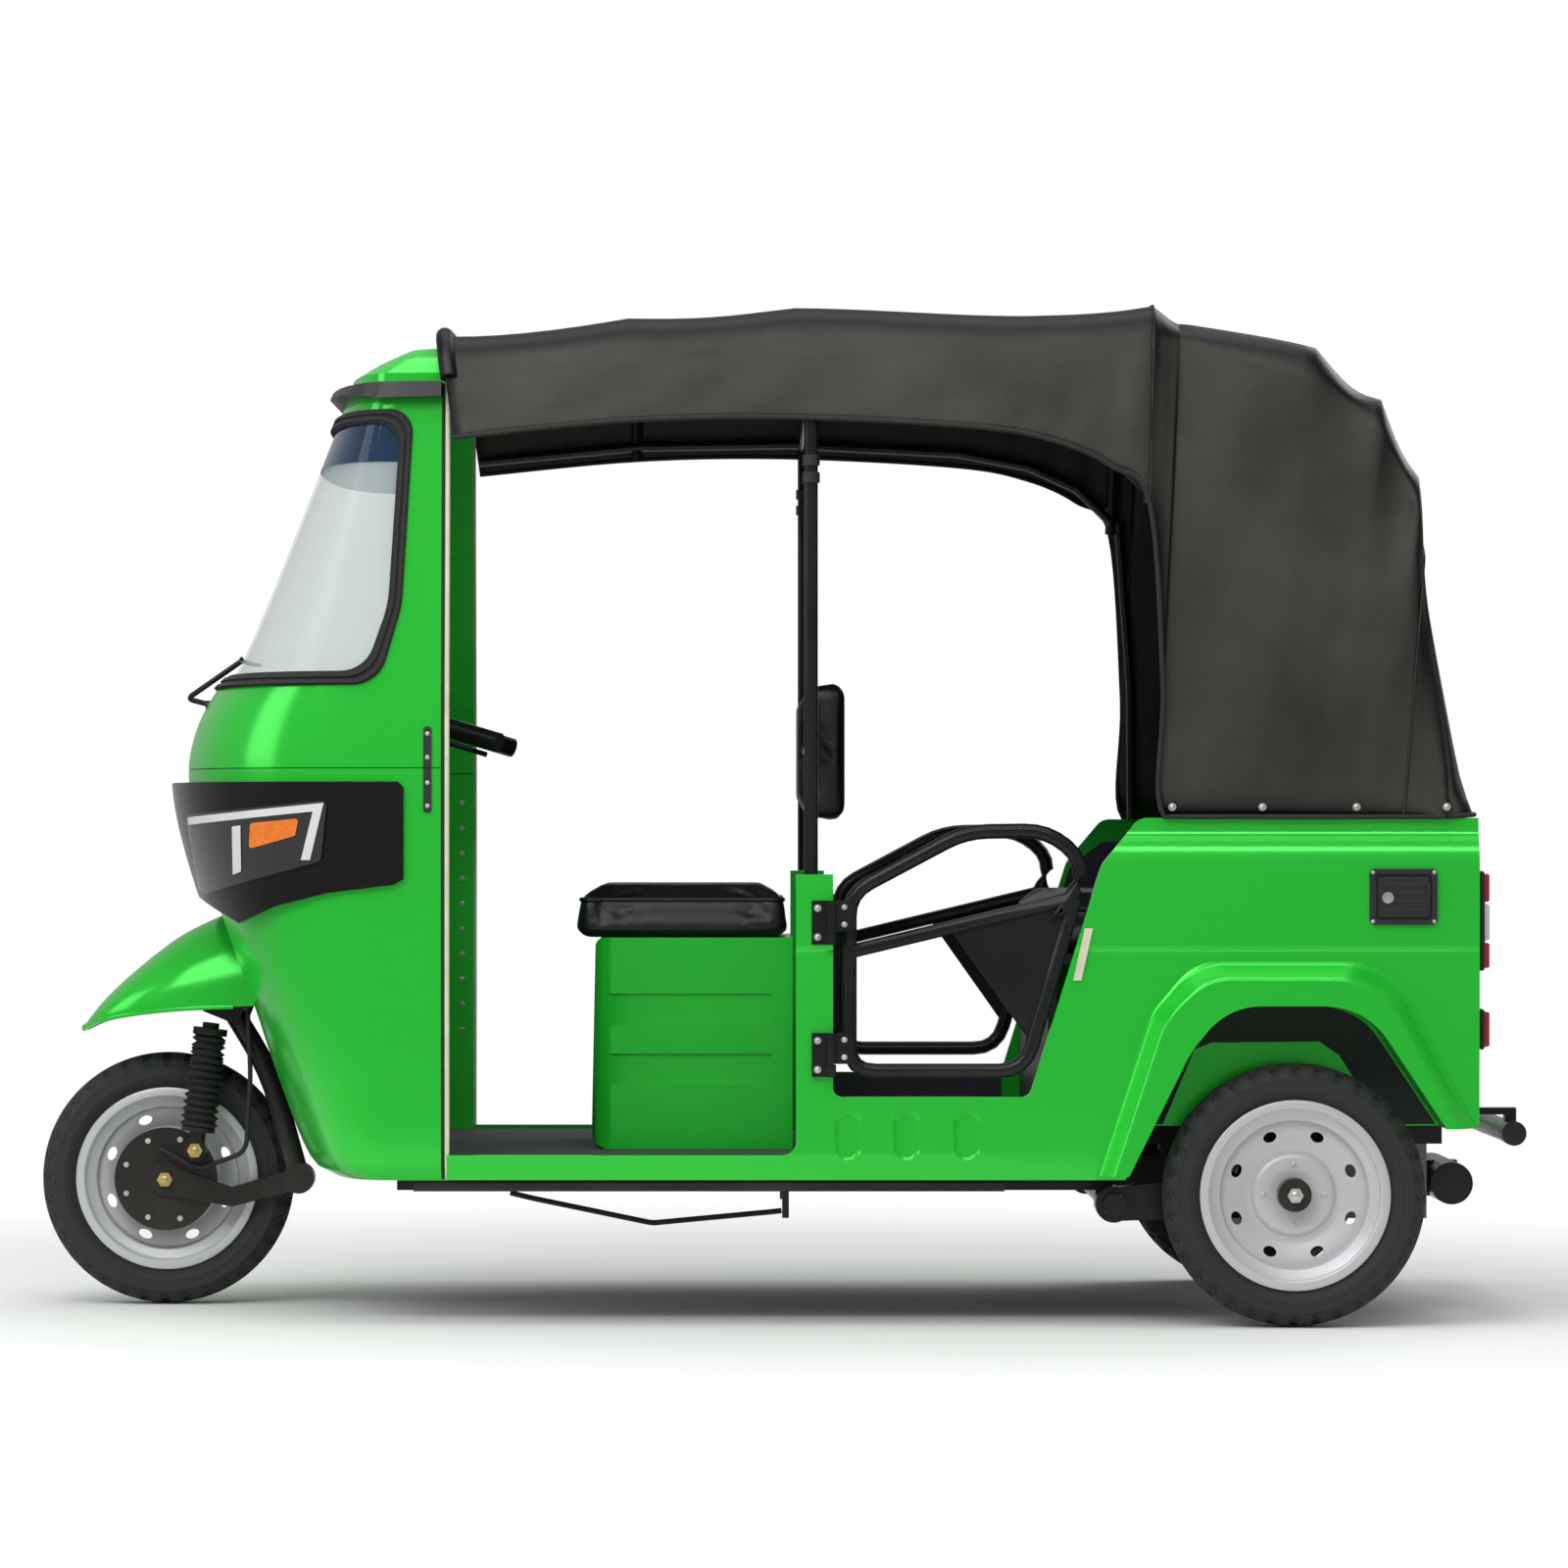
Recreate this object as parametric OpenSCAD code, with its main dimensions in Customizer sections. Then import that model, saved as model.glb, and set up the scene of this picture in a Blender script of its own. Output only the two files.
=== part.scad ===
// Passenger tricycle: covered three-wheeled taxi with a folding-style hood.
// X points forward, Y to the left, Z up; the ground is Z 0; sizes in mm.

/* [Overall] */
// Distance between front and rear axle
wheelbase = 2000; // [1900:10:2200]
// Half width over the flat of the body sides
side_half = 616; // [606:2:626]
// Distance of the rear wheel centre planes inside the body sides
wheel_inset = 41; // [38:1:46]
// Height of the driver's floor
floor_z = 290; // [280:2:296]
// Height of the top edge of the rear quarter panels
waist_z = 881; // [870:1:890]

/* [Wheels] */
// Outside diameter of the tyres
tyre_d = 456; // [440:2:460]
// Width of the tyres
tyre_w = 108; // [96:2:112]
// Diameter over the rim flanges
rim_d = 330; // [310:2:340]
// Number of holes round each rear wheel disc
disc_holes = 8; // [6:1:10]
// Diameter of the brake drums
drum_d = 186; // [170:2:200]

/* [Front end] */
// Height of the seam between lower and upper cowl
cowl_seam_z = 968; // [955:1:980]
// Wall of the cowl
cowl_wall = 14; // [8:1:20]
// Rake of the steering axis from the vertical
rake = 22; // [18:1:26]
// Half width of the steering tunnel in the nose
tunnel_half = 150; // [140:2:170]
// Width of the windscreen seal
seal_w = 24; // [16:1:30]

/* [Body] */
// Thickness of the side panels
side_wall = 26; // [16:1:34]
// Outside diameter of the hood poles
pole_d = 24; // [20:1:30]
// Outside diameter of the door tubes
door_tube_d = 26; // [22:1:30]
// Height of the lower edge of the door openings
door_sill_z = 398; // [380:2:410]
// Outside diameter of the rear bumper tube
bumper_d = 43; // [34:1:50]
// Thickness of the hood cloth with its lining
hood_wall = 6; // [4:1:10]

/* [Seats] */
// Half width of the driver's seat
driver_half = 240; // [200:5:280]
// Height of the driver's seat box
driver_box_z = 668; // [640:2:690]
// Height of the bench cushion's top
bench_top_z = 745; // [730:1:760]

/* [Hidden] */
$fn = 48;
fit = 0.3;
tyre_r = tyre_d / 2;
front_axle_x = wheelbase / 2 + 94;
rear_axle_x = front_axle_x - wheelbase;
wheel_y = side_half - wheel_inset;
// Reach of the cutters past the body sides
beyond = side_half + 84;
seam_x = front_axle_x - 532;
axis_x = front_axle_x + 16;
// B-post and quarter panel, from the rear axle
post_front_x = rear_axle_x + 863;
post_rear_x = rear_axle_x + 799;
pole_x = rear_axle_x + 837;
quarter_front_x = rear_axle_x + 460;
tail_x = rear_axle_x - 319;
post_top_z = 783;
sill_z = 254;
pole_y = side_half - 32;
side_in = side_half - side_wall;
deck_z = bench_top_z - 100;

// Extrude a side view (x, z) between two y values.
module along_y(y0, y1) {
  translate([0, y1, 0]) rotate([90, 0, 0]) linear_extrude(y1 - y0) children();
}

// Extrude a front view (y, z) between two x values.
module along_x(x0, x1) {
  translate([x0, 0, 0]) rotate([90, 0, 90]) linear_extrude(x1 - x0) children();
}

module both_sides() {
  children();
  mirror([0, 1, 0]) children();
}

module box(x0, x1, y0, y1, z0, z1) {
  translate([x0, y0, z0]) cube([x1 - x0, y1 - y0, z1 - z0]);
}

// Cylinder along Y between two y values.
module rod_y(x, z, y0, y1, r) {
  translate([x, y1, z]) rotate([90, 0, 0]) cylinder(r = r, h = y1 - y0);
}

module rounded_rect(x0, y0, x1, y1, r) {
  translate([x0 + r, y0]) square([x1 - x0 - 2 * r, y1 - y0]);
  translate([x0, y0 + r]) square([x1 - x0, y1 - y0 - 2 * r]);
  for (x = [x0 + r, x1 - r], y = [y0 + r, y1 - r]) translate([x, y]) circle(r);
}

function unit(v) = v / norm(v);
function flat(rows) = [for (row = rows) each row];

// Corner arcs: each point is [x, y, radius].
function round_corners(p, steps = 5) = [
  for (i = [0:len(p) - 1])
    let (
      a = [p[i][0], p[i][1]],
      u = unit([p[(i + len(p) - 1) % len(p)][0], p[(i + len(p) - 1) % len(p)][1]] - a),
      v = unit([p[(i + 1) % len(p)][0], p[(i + 1) % len(p)][1]] - a),
      half = acos(max(-1, min(1, u * v))) / 2,
      r = p[i][2],
      c = a + unit(u + v) * r / sin(half),
      s = a + u * r / tan(half) - c,
      turn = (cross(u, v) > 0 ? -1 : 1) * (180 - 2 * half)
    )
    each r == 0 ? [a] : [
      for (k = [0:steps])
        let (w = -turn * k / steps)
        c + [s[0] * cos(w) + s[1] * sin(w), -s[0] * sin(w) + s[1] * cos(w)]
    ]
];

module rounded_poly(p) {
  polygon(round_corners(p));
}

// Path with its corners eased over the given length.
function eased(p, cut, steps = 4) = [
  for (i = [0:len(p) - 1])
    each i == 0 || i == len(p) - 1 ? [p[i]] : let (
      a = p[i] + unit(p[i - 1] - p[i]) * cut,
      b = p[i] + unit(p[i + 1] - p[i]) * cut
    ) [for (k = [0:steps]) let (u = k / steps) a * (1 - u) * (1 - u) + p[i] * 2 * u * (1 - u) + b * u * u]
];

function loop_faces(m, n, caps) = concat(
  [for (i = [0:m - 2], j = [0:n - 1])
    let (k = (j + 1) % n)
    each [[i * n + j, (i + 1) * n + k, i * n + k], [i * n + j, (i + 1) * n + j, (i + 1) * n + k]]],
  caps ? [[for (j = [0:n - 1]) j], [for (j = [n - 1:-1:0]) (m - 1) * n + j]] : []
);

// Round tube along a path; side is a direction the path never follows.
module tube(path, r, side = [0, 1, 0], sides = 10) {
  m = len(path);
  rings = [
    for (i = [0:m - 1])
      let (
        before = i == 0 ? path[1] - path[0] : path[i] - path[i - 1],
        after = i == m - 1 ? before : path[i + 1] - path[i],
        t = unit(unit(before) + unit(after)),
        a = unit(cross(t, side)),
        b = cross(t, a)
      )
      [for (k = [0:sides - 1]) let (w = 360 * k / sides) path[i] + r * (cos(w) * a + sin(w) * b)]
  ];
  polyhedron(flat(rings), loop_faces(m, sides, true), convexity = 8);
}

// Closed skin over a stack of closed loops.
module skin(loops) {
  polyhedron(flat(loops), loop_faces(len(loops), len(loops[0]), true), convexity = 8);
}

// Sheet of some thickness between two equal grids of points.
module sheet(outer, inner) {
  m = len(outer);
  n = len(outer[0]);
  loops = [for (i = [0:m - 1]) concat(outer[i], [for (j = [n - 1:-1:0]) inner[i][j]])];
  last = (m - 1) * 2 * n;
  ends = [
    for (j = [0:n - 2])
      let (a = j, b = j + 1, c = 2 * n - 2 - j, d = 2 * n - 1 - j)
      each [[a, b, c], [a, c, d], [last + c, last + b, last + a], [last + d, last + c, last + a]]
  ];
  polyhedron(flat(loops), concat(loop_faces(m, 2 * n, false), ends), convexity = 8);
}

// Smooth reading of a table whose first column rises.
function span(t, z, i = 0) = i >= len(t) - 2 || z < t[i + 1][0] ? i : span(t, z, i + 1);
function slope(t, i, c) =
  let (a = max(0, i - 1), b = min(len(t) - 1, i + 1)) (t[b][c] - t[a][c]) / (t[b][0] - t[a][0]);
function read(t, z, c) =
  let (
    i = span(t, z),
    h = t[i + 1][0] - t[i][0],
    u = (z - t[i][0]) / h
  )
  t[i][c] * (2 * u * u * u - 3 * u * u + 1) + slope(t, i, c) * h * (u * u * u - 2 * u * u + u)
  + t[i + 1][c] * (3 * u * u - 2 * u * u * u) + slope(t, i + 1, c) * h * (u * u * u - u * u);

// Nose sections: height, nose ahead of the seam, start of the flat side ahead of the seam, inset of its side
COWL = [
  [252, 226, 90, 44],
  [272, 262, 100, 28],
  [411, 322, 110, 20],
  [544, 368, 120, 16],
  [700, 425, 125, 14],
  [860, 474, 130, 13],
  [968, 488, 130, 14],
  [1045, 472, 126, 17],
  [1113, 435, 120, 21],
  [1150, 398, 115, 24],
  [1588, 214, 90, 60],
  [1640, 190, 84, 66]
];

// Heights at which every piece of the nose bends, so that the pieces share one surface
LEVELS = [for (z = [252, 272, 340, 411, 544, 622, 700, 780, 860, 968, 1045, 1080, 1113, 1150, 1300, 1450, 1588,
  1640]) [z]];

// Plan of the nose at a level, grown outwards by g, from the right seam round to the left.
function level_plan(z, g = 0, ahead = 0, n = 10) =
  let (
    nose = seam_x + read(COWL, z, 1) + g + ahead,
    start = seam_x + read(COWL, z, 2),
    w = side_half - read(COWL, z, 3) + g,
    p = 2 / 2.5
  )
  concat(
    [[seam_x, -w - 2, z]],
    [for (k = [-n:n]) let (a = 90 * k / n)
      [start + (nose - start) * pow(max(0, cos(a)), p), w * sign(a) * pow(abs(sin(a)), p), z]],
    [[seam_x, w + 2, z]]
  );

function nose_plan(z, g = 0, ahead = 0) =
  let (
    i = span(LEVELS, z),
    low = LEVELS[i][0],
    u = (z - low) / (LEVELS[i + 1][0] - low),
    a = level_plan(low, g, ahead),
    b = level_plan(LEVELS[i + 1][0], g, ahead)
  )
  [for (k = [0:len(a) - 1]) a[k] * (1 - u) + b[k] * u];

function levels(z0, z1) = [z0, for (v = LEVELS) if (v[0] > z0 && v[0] < z1) v[0], z1];

// Solid nose between two heights, closed flat at the seam.
module nose_solid(z0, z1, g = 0, ahead = 0) {
  skin([for (z = levels(z0, z1)) nose_plan(z, g, ahead)]);
}

module nose_sheet(z0, z1, g_out, g_in, ahead = 0) {
  sheet([for (z = levels(z0, z1)) nose_plan(z, g_out, ahead)],
    [for (z = levels(z0, z1)) nose_plan(z, g_in, ahead)]);
}

// Steering tunnel seen from the front, open below.
module tunnel_front(grow) {
  rounded_poly([[-tunnel_half - grow, 100, 0], [tunnel_half + grow, 100, 0],
    [tunnel_half + grow, 690 + grow, 60], [-tunnel_half - grow, 690 + grow, 60]]);
}

// Windscreen opening in side view, drawn in by g.
module screen_side(g) {
  rounded_poly([[seam_x + 700, 1112 + g, 0], [seam_x + 700, 1592 - g, 0], [seam_x + 58 + g, 1592 - g, 40],
    [seam_x + 78 + g, 1250, 200], [seam_x + 118 + g, 1112 + g, 60]]);
}

module front_cowl_lower() {
  color("limegreen") difference() {
    nose_sheet(252, cowl_seam_z - fit, 0, -cowl_wall);
    along_x(seam_x + 60, seam_x + 700) tunnel_front(0);
  }
}

module front_cowl_upper() {
  color("limegreen") difference() {
    nose_sheet(cowl_seam_z, 1640, 0, -cowl_wall);
    along_y(-beyond, beyond) screen_side(0);
  }
}

module windscreen_glass() {
  color("lightskyblue", 0.4) intersection() {
    nose_sheet(1100, 1600, -3, -8);
    along_y(-beyond, beyond) screen_side(seal_w + fit);
  }
}

module windscreen_seal() {
  color("black") difference() {
    intersection() {
      nose_sheet(1100, 1600, 5, -cowl_wall - 4);
      along_y(-beyond, beyond) screen_side(fit);
    }
    along_y(-801, 801) screen_side(seal_w);
  }
}

module roof_header() {
  color("limegreen") skin([
    for (s = [[1640 + fit, 1, 1], [1655, 0.99, 1], [1679, 0.76, 0.96], [1700, 0.5, 0.88], [1710, 0.17, 0.7]])
      let (base = nose_plan(1640))
      [for (p = base) [seam_x + (p[0] - seam_x) * s[1], p[1] * s[2], s[0]]]
  ]);
}

module sun_visor() {
  color("dimgray") intersection() {
    difference() {
      nose_solid(1580, 1640, 34);
      nose_solid(1570, 1640.01, fit);
    }
    along_y(-beyond, beyond) polygon([[seam_x + 10, 1612], [seam_x + 120, 1610], [seam_x + 223, 1626],
      [seam_x + 223, 1634], [seam_x + 120, 1638], [seam_x + 10, 1639]]);
  }
}

// Outline of the headlamp mask in side view
module mask_side() {
  polygon([[seam_x + 74, 775], [seam_x + 91, 765], [seam_x + 206, 751], [seam_x + 298, 728],
    [seam_x + 369, 697], [seam_x + 451, 737], [seam_x + 504, 757], [seam_x + 620, 757], [seam_x + 620, 944],
    [seam_x + 84, 944], [seam_x + 74, 934]]);
}

module headlamp_mask() {
  color("black") difference() {
    intersection() {
      nose_solid(690, 950, 9, 22);
      along_y(-beyond, beyond) mask_side();
    }
    nose_solid(640, 960, fit);
  }
}

// Lens outline in side view
module lens_side() {
  rounded_poly([[seam_x + 470, 886, 8], [seam_x + 206, 912, 10], [seam_x + 217, 806, 14],
    [seam_x + 450, 744, 16]]);
}

module headlamps() {
  color("gray") both_sides() intersection() {
    nose_sheet(735, 925, 16, 9 + fit, 22);
    along_y(60, beyond) lens_side();
  }
}

// Mudguard rows: x from the front axle, ridge height, edge height, half width
GUARD = [
  [-170, 735, 544, 168],
  [-80, 697, 541, 164],
  [-14, 662, 537, 156],
  [60, 604, 528, 134],
  [115, 552, 516, 96],
  [152, 506, 499, 34]
];
function guard_row(r, g) = [
  for (k = [6:-1:-6]) let (a = 15 * k)
    [front_axle_x + r[0] - g * 0.3, (r[3] - g) * sin(a), r[2] + (r[1] - g - r[2]) * pow(max(0, cos(a)), 0.8)]
];

module front_mudguard() {
  color("limegreen") difference() {
    sheet([for (r = GUARD) guard_row(r, 0)], [for (r = GUARD) guard_row(r, 6)]);
    nose_solid(480, 800, fit);
    intersection() {
      nose_solid(690, 950, 9 + fit, 22);
      along_y(-beyond, beyond) translate([0, -fit]) mask_side();
    }
  }
}

wiper_z = 1166;
module wiper() {
  color("black") difference() {
    union() {
      // Arm that stands off the cowl and comes back to the parked blade
      tube(eased([[seam_x + 448, 60, 1086], [seam_x + 494, 60, 1098], [seam_x + 396, 60, wiper_z]], 12), 5);
      tube([for (q = nose_plan(wiper_z, 2.5)) if (abs(q[1]) < 300) q], 4, [0, 0, 1], 6);
      translate([seam_x + 430, 60, 1086]) rotate([0, 90, 0]) cylinder(r = 9, h = 30);
    }
    nose_solid(1060, 1130, fit);
  }
}

// Space inside the nose, with a clearance that suits its bent faces
nose_fit = 0.8;
module nose_inside(z0, z1) {
  nose_solid(z0, z1, -cowl_wall - nose_fit);
}

function axis_at(z) = [axis_x - (z - tyre_r) * tan(rake), 0, z];

// Turn a piece drawn along Z at the origin onto the steering axis at a height.
module on_axis(z) {
  translate(axis_at(z)) rotate([0, -rake, 0]) children();
}

module steering_tunnel() {
  color("black") difference() {
    union() {
      intersection() {
        nose_inside(262, 760);
        along_x(seam_x + 130, seam_x + 700) tunnel_front(8);
      }
      on_axis(655) cylinder(d = 84, h = 150);
    }
    along_x(seam_x + 138, seam_x + 720) tunnel_front(fit);
    on_axis(560) cylinder(d = 50 + 2 * fit, h = 400);
  }
}

module instrument_panel() {
  color("black") intersection() {
    nose_inside(1040, 1110);
    along_y(-beyond, beyond) polygon([[seam_x + 330, 1100], [seam_x + 310, 1050], [seam_x + 322, 1048],
      [seam_x + 342, 1088], [seam_x + 600, 1088], [seam_x + 600, 1100]]);
  }
}

mat_h = 2;
module floor_pan() {
  color("dimgray") difference() {
    union() {
      intersection() {
        nose_inside(262, 320);
        box(seam_x, seam_x + 400, -700, 700, floor_z - 12, floor_z);
      }
      box(rear_axle_x + 426, seam_x - fit, -side_in + fit, side_in - fit, floor_z - 12, floor_z);
      box(seam_x - 20, seam_x + 20, -side_in + 40, side_in - 40, floor_z - 12, floor_z);
      // Raised mat under the passengers' feet
      box(rear_axle_x + 446, post_rear_x - 5, -side_in + 60, side_in - 60, floor_z - 1, floor_z + mat_h);
    }
    along_x(seam_x + 130 - fit, seam_x + 700) tunnel_front(8 + fit);
  }
}

rail_y = 300;
rail_top = floor_z - 12 - fit;
module underframe() {
  color("black") {
    both_sides() {
      box(rear_axle_x + 300, seam_x + 100, rail_y - 25, rail_y + 25, rail_top - 56, rail_top);
      rod_y(rear_axle_x + 306, 205, 0, wheel_y - 75, 20);
      box(rear_axle_x + 300, rear_axle_x + 330, rail_y - 25, rail_y + 25, 190, rail_top - 20);
      translate([rear_axle_x + 500, side_in - 50, 246]) rotate([0, 90, 0])
        cylinder(d = 30, h = seam_x + 60 - rear_axle_x - 500);
      for (x = [rear_axle_x + 520, post_front_x, seam_x - 60])
        box(x - 20, x + 20, 0, side_in - 50, 240, 262);
      // Rear rails that carry the engine
      box(tail_x + 26, rear_axle_x + 340, 205, 245, 300, 340);
      box(rear_axle_x + 300, rear_axle_x + 340, 205, rail_y + 25, 230, 340);
      // Hanger for the brake cable
      box(post_front_x + 10, post_front_x + 22, rail_y - 20, rail_y + 20, 172, rail_top - 50);
    }
  }
}

// Wheel arch in side view, grown by g
module arch_side(g) {
  rounded_poly([[rear_axle_x + 320 + g, 200, 0], [rear_axle_x + 182 + g, 478 + g * 0.4, 60],
    [rear_axle_x + 118 + g * 0.6, 556 + g, 40], [rear_axle_x - 118 - g * 0.6, 556 + g, 50],
    [rear_axle_x - 259 - g, 344, 0], [rear_axle_x - 350 - g, 200, 0]]);
}

// Outline of a body side in side view
module side_outline() {
  rounded_poly([[seam_x - fit, sill_z, 0], [seam_x - fit, floor_z + 7, 0], [post_front_x, floor_z + 7, 24],
    [post_front_x, post_top_z, 0], [post_rear_x, post_top_z, 0], [post_rear_x, door_sill_z, 16],
    [quarter_front_x, door_sill_z, 18], [rear_axle_x + 335, 800, 60], [rear_axle_x + 268, waist_z, 30],
    [tail_x, waist_z, 0], [tail_x, 344, 14], [rear_axle_x - 240, 344, 0], [rear_axle_x + 200, sill_z, 0]]);
}

// Body side section in front view: y, z
module side_section() {
  polygon([[side_half - 14, sill_z - 4], [side_half - 9, 300], [side_half - 2, 600], [side_half - 2, 644],
    [side_half - 5, 652], [side_half, 660], [side_half, 800], [side_half - 2, 818], [side_half - 8, 834],
    [side_half - 17, 846], [side_half - 22, 856], [side_half - 22, waist_z + 4],
    [side_half - 22 - side_wall + 10, waist_z + 4], [side_in, 840], [side_in, sill_z - 4]]);
}

module body_side() {
  difference() {
    union() {
      intersection() {
        along_x(tail_x - 1, seam_x + 1) side_section();
        along_y(0, beyond) side_outline();
      }
      // Post made deep enough to carry the hood pole
      box(post_rear_x, post_front_x, side_half - 56, side_half - 10, floor_z + fit, post_top_z);
      // Raised lip round the wheel arch
      hull() {
        along_y(side_half - 6, side_half - 2) flare_side(0);
        along_y(side_half - 2, side_half + 34) flare_side(26);
      }
    }
    along_y(0, beyond) arch_side(0);
    box(rear_axle_x - 400, rear_axle_x - 200, side_in - 90, beyond, 100, 344);
    // Pressed ovals in the panel below the door
    for (x = [773, 671, 567]) translate([rear_axle_x + x, side_half - 13, 332])
      along_y(0, 20) {
        translate([0, 22]) circle(d = 46);
        translate([0, -22]) circle(d = 46);
        translate([-23, -22]) square([46, 44]);
      }
  }
}

// Lip of the wheel arch in side view, drawn in by g
module flare_side(g) {
  polygon([[rear_axle_x + 338 - g, 262], [rear_axle_x + 247 - g, 539], [rear_axle_x + 190 - g, 606 - g * 0.6],
    [rear_axle_x + 150 - g * 0.5, 628 - g], [rear_axle_x - 111 + g * 0.5, 628 - g],
    [rear_axle_x - 179 + g, 591 - g * 0.6], [rear_axle_x - 306 + g, 344], [rear_axle_x - 306 + g, 262]]);
}

module body_side_left() {
  color("limegreen") difference() {
    body_side();
    box(filler_x0 + 24, filler_x1 - 24, side_in - 90, beyond, filler_z0 + 22, filler_z1 - 22);
  }
}

module body_side_right() {
  color("limegreen") mirror([0, 1, 0]) body_side();
}

hatch_half = 330;
hatch_axis = [tail_x - 12, 792];
module tail_panel() {
  color("limegreen") {
    difference() {
      along_x(tail_x, tail_x + 24) polygon([[-side_in + fit, 344], [side_in - fit, 344], [side_in - 2, 840],
        [side_in - 14, waist_z], [-side_in + 14, waist_z], [-side_in + 2, 840]]);
      along_x(tail_x - 1, tail_x + 30) rounded_rect(-hatch_half, 420, hatch_half, 780, 40);
    }
    // Ears and pins of the hatch hinges
    for (y = [-200, 200]) {
      rod_y(hatch_axis[0], hatch_axis[1], y - 46, y + 46, 3);
      for (s = [-1, 1])
        box(hatch_axis[0] - 6, tail_x + 1, y + s * 39 - 7, y + s * 39 + 7, hatch_axis[1] - 6, hatch_axis[1] + 10);
    }
  }
}

module engine_hatch() {
  color("limegreen") {
    difference() {
      along_x(tail_x + 2, tail_x + 22) rounded_rect(-hatch_half + 6, 426, hatch_half - 6, 774, 35);
      for (z = [480:36:624]) box(tail_x - 1, tail_x + 30, -220, 220, z, z + 12);
    }
    for (y = [-200, 200]) difference() {
      union() {
        rod_y(hatch_axis[0], hatch_axis[1], y - 30, y + 30, 7);
        box(tail_x - 17, tail_x - 6, y - 30, y + 30, 742, hatch_axis[1]);
        box(tail_x - 17, tail_x + 3, y - 30, y + 30, 740, 752);
      }
      rod_y(hatch_axis[0], hatch_axis[1], y - 40, y + 40, 3 + fit);
    }
  }
}

module wheelhouses() {
  color("forestgreen") both_sides() difference() {
    along_y(wheel_y - tyre_w / 2 - 22, side_in - fit) arch_side(10);
    along_y(wheel_y - tyre_w / 2 - 14, beyond) arch_side(0);
    box(rear_axle_x - 500, rear_axle_x + 500, 0, beyond, 0, 344);
    rod_y(rear_axle_x, tyre_r, 0, 600, 130);
  }
}

module quarter_trim() {
  color("midnightblue") both_sides() along_y(side_in - 14, side_in - fit)
    rounded_poly([[rear_axle_x + 372, deck_z + 1, 0], [rear_axle_x + 330, 790, 40], [rear_axle_x + 268, 838, 20],
      [tail_x + 30, 838, 0], [tail_x + 30, deck_z + 1, 0]]);
}

module seat_bulkhead() {
  color("black") {
    box(rear_axle_x + 410, rear_axle_x + 426 - fit, -side_in + 16, side_in - 16, floor_z - 12, deck_z - 2);
    box(tail_x + 26, rear_axle_x + 426 - fit, -side_in + 16, side_in - 16, deck_z - 18, deck_z);
  }
}

module driver_seat_box() {
  color("limegreen") difference() {
    intersection() {
      along_y(-driver_half, driver_half) rounded_poly([[post_front_x + 3, floor_z + fit, 0],
        [post_front_x + 363, floor_z + fit, 30], [post_front_x + 355, driver_box_z, 16],
        [post_front_x + 3, driver_box_z, 0]]);
      translate([0, 0, 0]) linear_extrude(900) rounded_rect(post_front_x - 60, -driver_half,
        post_front_x + 363, driver_half, 50);
    }
    for (z = [405, 512]) for (y = [-1, 1])
      box(post_front_x + 40, post_front_x + 400, y * driver_half - 5, y * driver_half + 5, z, z + 56);
  }
}

// Padded block with rounded long and short edges
module pad(x0, x1, half, z0, z1, r) {
  intersection() {
    along_y(-half, half) rounded_rect(x0, z0, x1, z1, r);
    translate([0, 0, z0]) linear_extrude(z1 - z0) rounded_rect(x0, -half, x1, half, r * 1.4);
  }
}

module driver_cushion() {
  color("black") pad(post_front_x + 3, post_front_x + 398, driver_half + 10, driver_box_z + fit,
    driver_box_z + 91, 28);
}

module driver_backrest() {
  color("black") difference() {
    pad(pole_x - 65, pole_x + 17, driver_half - 10, 873, 1131, 26);
    rod_y(pole_x, 1000, -beyond, beyond, 11 + fit);
  }
}

module bench_cushion() {
  color("black") pad(rear_axle_x + 10, rear_axle_x + 456, side_half - 76, deck_z + fit, bench_top_z, 36);
}

module bench_backrest() {
  color("black") translate([rear_axle_x + 4, 0, deck_z + fit]) multmatrix([[1, 0, -0.16, 0], [0, 1, 0, 0],
    [0, 0, 1, 0], [0, 0, 0, 1]]) pad(-90, 0, side_half - 76, 0, 555, 32);
}

// Hood rows: roof x, roof z, hem x, hem z, inset of the hem, all x from the rear axle
HOOD = [
  [front_axle_x - 519 - rear_axle_x, 1722, front_axle_x - 543 - rear_axle_x, 1540, 20],
  [front_axle_x - 845 - rear_axle_x, 1752, front_axle_x - 845 - rear_axle_x, 1569, 12],
  [864, 1770, 866, 1574, 10],
  [544, 1764, 544, 1557, 10],
  [406, 1767, 408, 1531, 10],
  [306, 1771, 316, 1489, 10],
  [240, 1774, 251, 1425, 10],
  [200, 1770, 228, 1110, 12],
  [160, 1764, 226, waist_z + 2, 14],
  [-45, 1702, 80, waist_z + 2, 14],
  [-159, 1612, -50, waist_z + 2, 14],
  [-224, 1478, -150, waist_z + 2, 14],
  [-243, 1281, -210, waist_z + 2, 14],
  [-313, waist_z + 6, -262, waist_z + 2, 14]
];
hood_r = 70;
hood_in = 36;

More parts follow.
